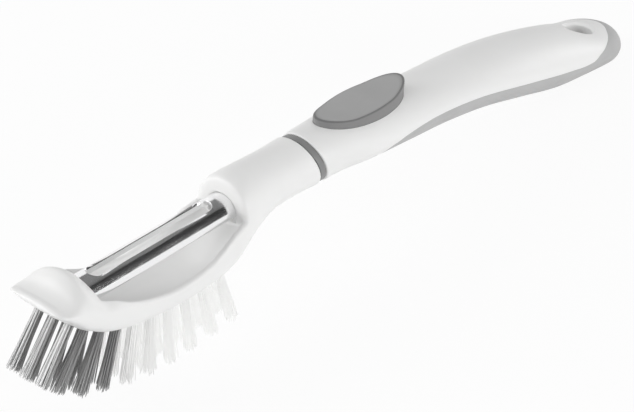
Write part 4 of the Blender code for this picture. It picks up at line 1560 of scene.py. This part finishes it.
@dataclass
class Studio:
    """Pale floor, soft lamps, a screen and a ceiling that the steel mirrors, and the camera."""

    camera_place: tuple[float, float, float] = (-0.44747069, -0.37670456, 0.43118951)
    camera_turn_deg: tuple[float, float, float] = (53.942557, -0.019609, -49.0)
    lens: float = 141.331
    floor_half: float = 3.0
    floor_white: float = 0.92
    day: float = 0.10
    day_above: float = 0.58
    screen_turn_deg: tuple[float, float] = (-88.0, -12.0)
    screen_radius: float = 1.2
    screen_low: float = 0.02
    screen_height: float = 0.95
    ceiling_half: float = 1.15
    ceiling_height: float = 1.1

    def build_world(self) -> None:
        """World: paler above than below, and plain white for the camera, metal and glass."""
        world = bpy.data.worlds.new("studio")
        bpy.context.scene.world = world
        world.use_nodes = True
        nodes = Nodes(world.node_tree)
        world.node_tree.nodes.clear()
        seen = self.seen(nodes)
        way = nodes.add("ShaderNodeTexCoord").outputs["Generated"]
        height = nodes.add("ShaderNodeSeparateXYZ", {0: way}).outputs["Z"]
        level = nodes.spread(height, 0.2, 0.5, self.day, self.day_above)
        light = nodes.add("ShaderNodeBackground", {"Color": WHITE, "Strength": level})
        white = nodes.add("ShaderNodeBackground", {"Color": WHITE, "Strength": 1.0})
        mix = nodes.add("ShaderNodeMixShader", {0: seen, 1: light.outputs[0], 2: white.outputs[0]})
        nodes.add("ShaderNodeOutputWorld", {"Surface": mix.outputs[0]})

    @staticmethod
    def seen(nodes: Nodes) -> bpy.types.NodeSocket:
        """A value that is 1 for rays of the camera and for those that metal and glass send out.

        Args:
            nodes: nodes of the material or the world.

        Returns:
            The value.
        """
        path = nodes.add("ShaderNodeLightPath").outputs
        direct = nodes.math("MAXIMUM", path["Is Camera Ray"], path["Is Glossy Ray"])
        return nodes.math("MAXIMUM", direct, path["Is Transmission Ray"])

    @staticmethod
    def stand(
        name: str, points: np.ndarray, faces: list[tuple[int, ...]], material: bpy.types.Material,
    ) -> bpy.types.Object:
        """A plain surface that stands round the brush.

        Args:
            name: its name.
            points: its corners.
            faces: its faces.
            material: its finish.

        Returns:
            The object.
        """
        mesh = bpy.data.meshes.new(name)
        mesh.from_pydata(points.tolist(), [], faces)
        mesh.materials.append(material)
        return add_object(name, mesh)

    @staticmethod
    def matt_grey(name: str, level: float) -> bpy.types.Material:
        """A matt grey for a surface that only the blade mirrors.

        Args:
            name: name of the material.
            level: how pale it is, from 0 to 1.

        Returns:
            The material.
        """
        material = bpy.data.materials.new(name)
        material.use_nodes = True
        shader = material.node_tree.nodes["Principled BSDF"]
        shader.inputs["Base Color"].default_value = opaque((level,) * 3)
        shader.inputs["Roughness"].default_value = 0.9
        return material

    def build_floor(self) -> None:
        """Floor: a large square that keeps a faint shadow of the brush."""
        material = bpy.data.materials.new("floor_white")
        material.use_nodes = True
        material.node_tree.nodes.clear()
        nodes = Nodes(material.node_tree)
        matt = nodes.add("ShaderNodeBsdfDiffuse", {"Color": (0.95, 0.95, 0.95, 1.0)})
        white = nodes.add("ShaderNodeEmission", {"Color": WHITE, "Strength": 1.0})
        share = nodes.math("MULTIPLY", self.seen(nodes), self.floor_white)
        mix = nodes.add("ShaderNodeMixShader", {0: share, 1: matt.outputs[0], 2: white.outputs[0]})
        nodes.add("ShaderNodeOutputMaterial", {"Surface": mix.outputs[0]})
        floor = self.stand("floor", self.floor_half * SQUARE, [(0, 1, 2, 3)], material)

    def build_screen(self) -> None:
        """Dark screen to the right of the camera that gives the polished blade its dark band.

        It is an upright part of a cylinder, and the camera doesn't see it.
        """
        columns = 24
        turn = np.radians(np.linspace(*self.screen_turn_deg, columns))
        x, y = self.screen_radius * np.cos(turn), self.screen_radius * np.sin(turn)
        low = np.stack([x, y, np.full(columns, self.screen_low)], axis=1)
        points = np.concatenate([low, low + (0, 0, self.screen_height)])
        faces = [(k, k + 1, columns + k + 1, columns + k) for k in range(columns - 1)]
        screen = self.stand("dark_screen", points, faces, self.matt_grey("screen_black", 0.03))
        screen.visible_camera = False

    def build_ceiling(self) -> None:
        """Grey ceiling above the brush that only the polished blade mirrors; it takes no light away."""
        corners = self.ceiling_half * SQUARE + (0, 0, self.ceiling_height)
        material = self.matt_grey("ceiling_grey", 0.25)
        ceiling = self.stand("grey_ceiling", corners, [(3, 2, 1, 0)], material)
        ceiling.visible_camera = False
        ceiling.visible_diffuse = False
        ceiling.visible_shadow = False

    def build_camera(self) -> None:
        """Camera at the photograph's place, with its lens."""
        camera = bpy.data.cameras.new("photo_camera")
        camera.sensor_fit, camera.sensor_width, camera.lens = "HORIZONTAL", 36.0, self.lens
        camera.clip_start, camera.clip_end = 0.01, 50.0
        camera.dof.use_dof = False
        body = add_object("photo_camera", camera)
        body.location = self.camera_place
        body.rotation_euler = [math.radians(turn) for turn in self.camera_turn_deg]
        bpy.context.scene.camera = body

    def build(self) -> None:
        """Camera, world, floor, lamps, screen and ceiling."""
        bpy.context.scene.view_settings.view_transform = "Standard"
        self.build_camera()
        self.build_world()
        self.build_floor()
        for lamp in LAMPS:
            lamp.build()
        self.build_screen()
        self.build_ceiling()


def main() -> None:
    """Build the studio and every piece of the brush, in order."""
    logging.basicConfig(level=logging.INFO, format="%(message)s", stream=sys.stdout)
    Studio().build()
    for make_group in (make_mottle_group, make_skin_group, make_lines_group, make_strand_group):
        make_group()
    finishes = {finish.name: finish.material() for finish in FINISHES}
    head = Head()
    bristles = Bristles(head)
    head.build(bristles, finishes["white_plastic"])
    Peeler().build(finishes["polished_steel"])
    for name in ("front_pivot_pin", "rear_pivot_pin"):
        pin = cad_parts[name]
        for slot in pin.material_slots:
            slot.material = finishes["pin_steel"]
        LOG.info("%s: packed solid in drawn steel", name)
    Collar().build(finishes["ring_grey"])
    Handle().build(finishes)
    bristles.build(finishes)


if __name__ == "__main__":
    main()
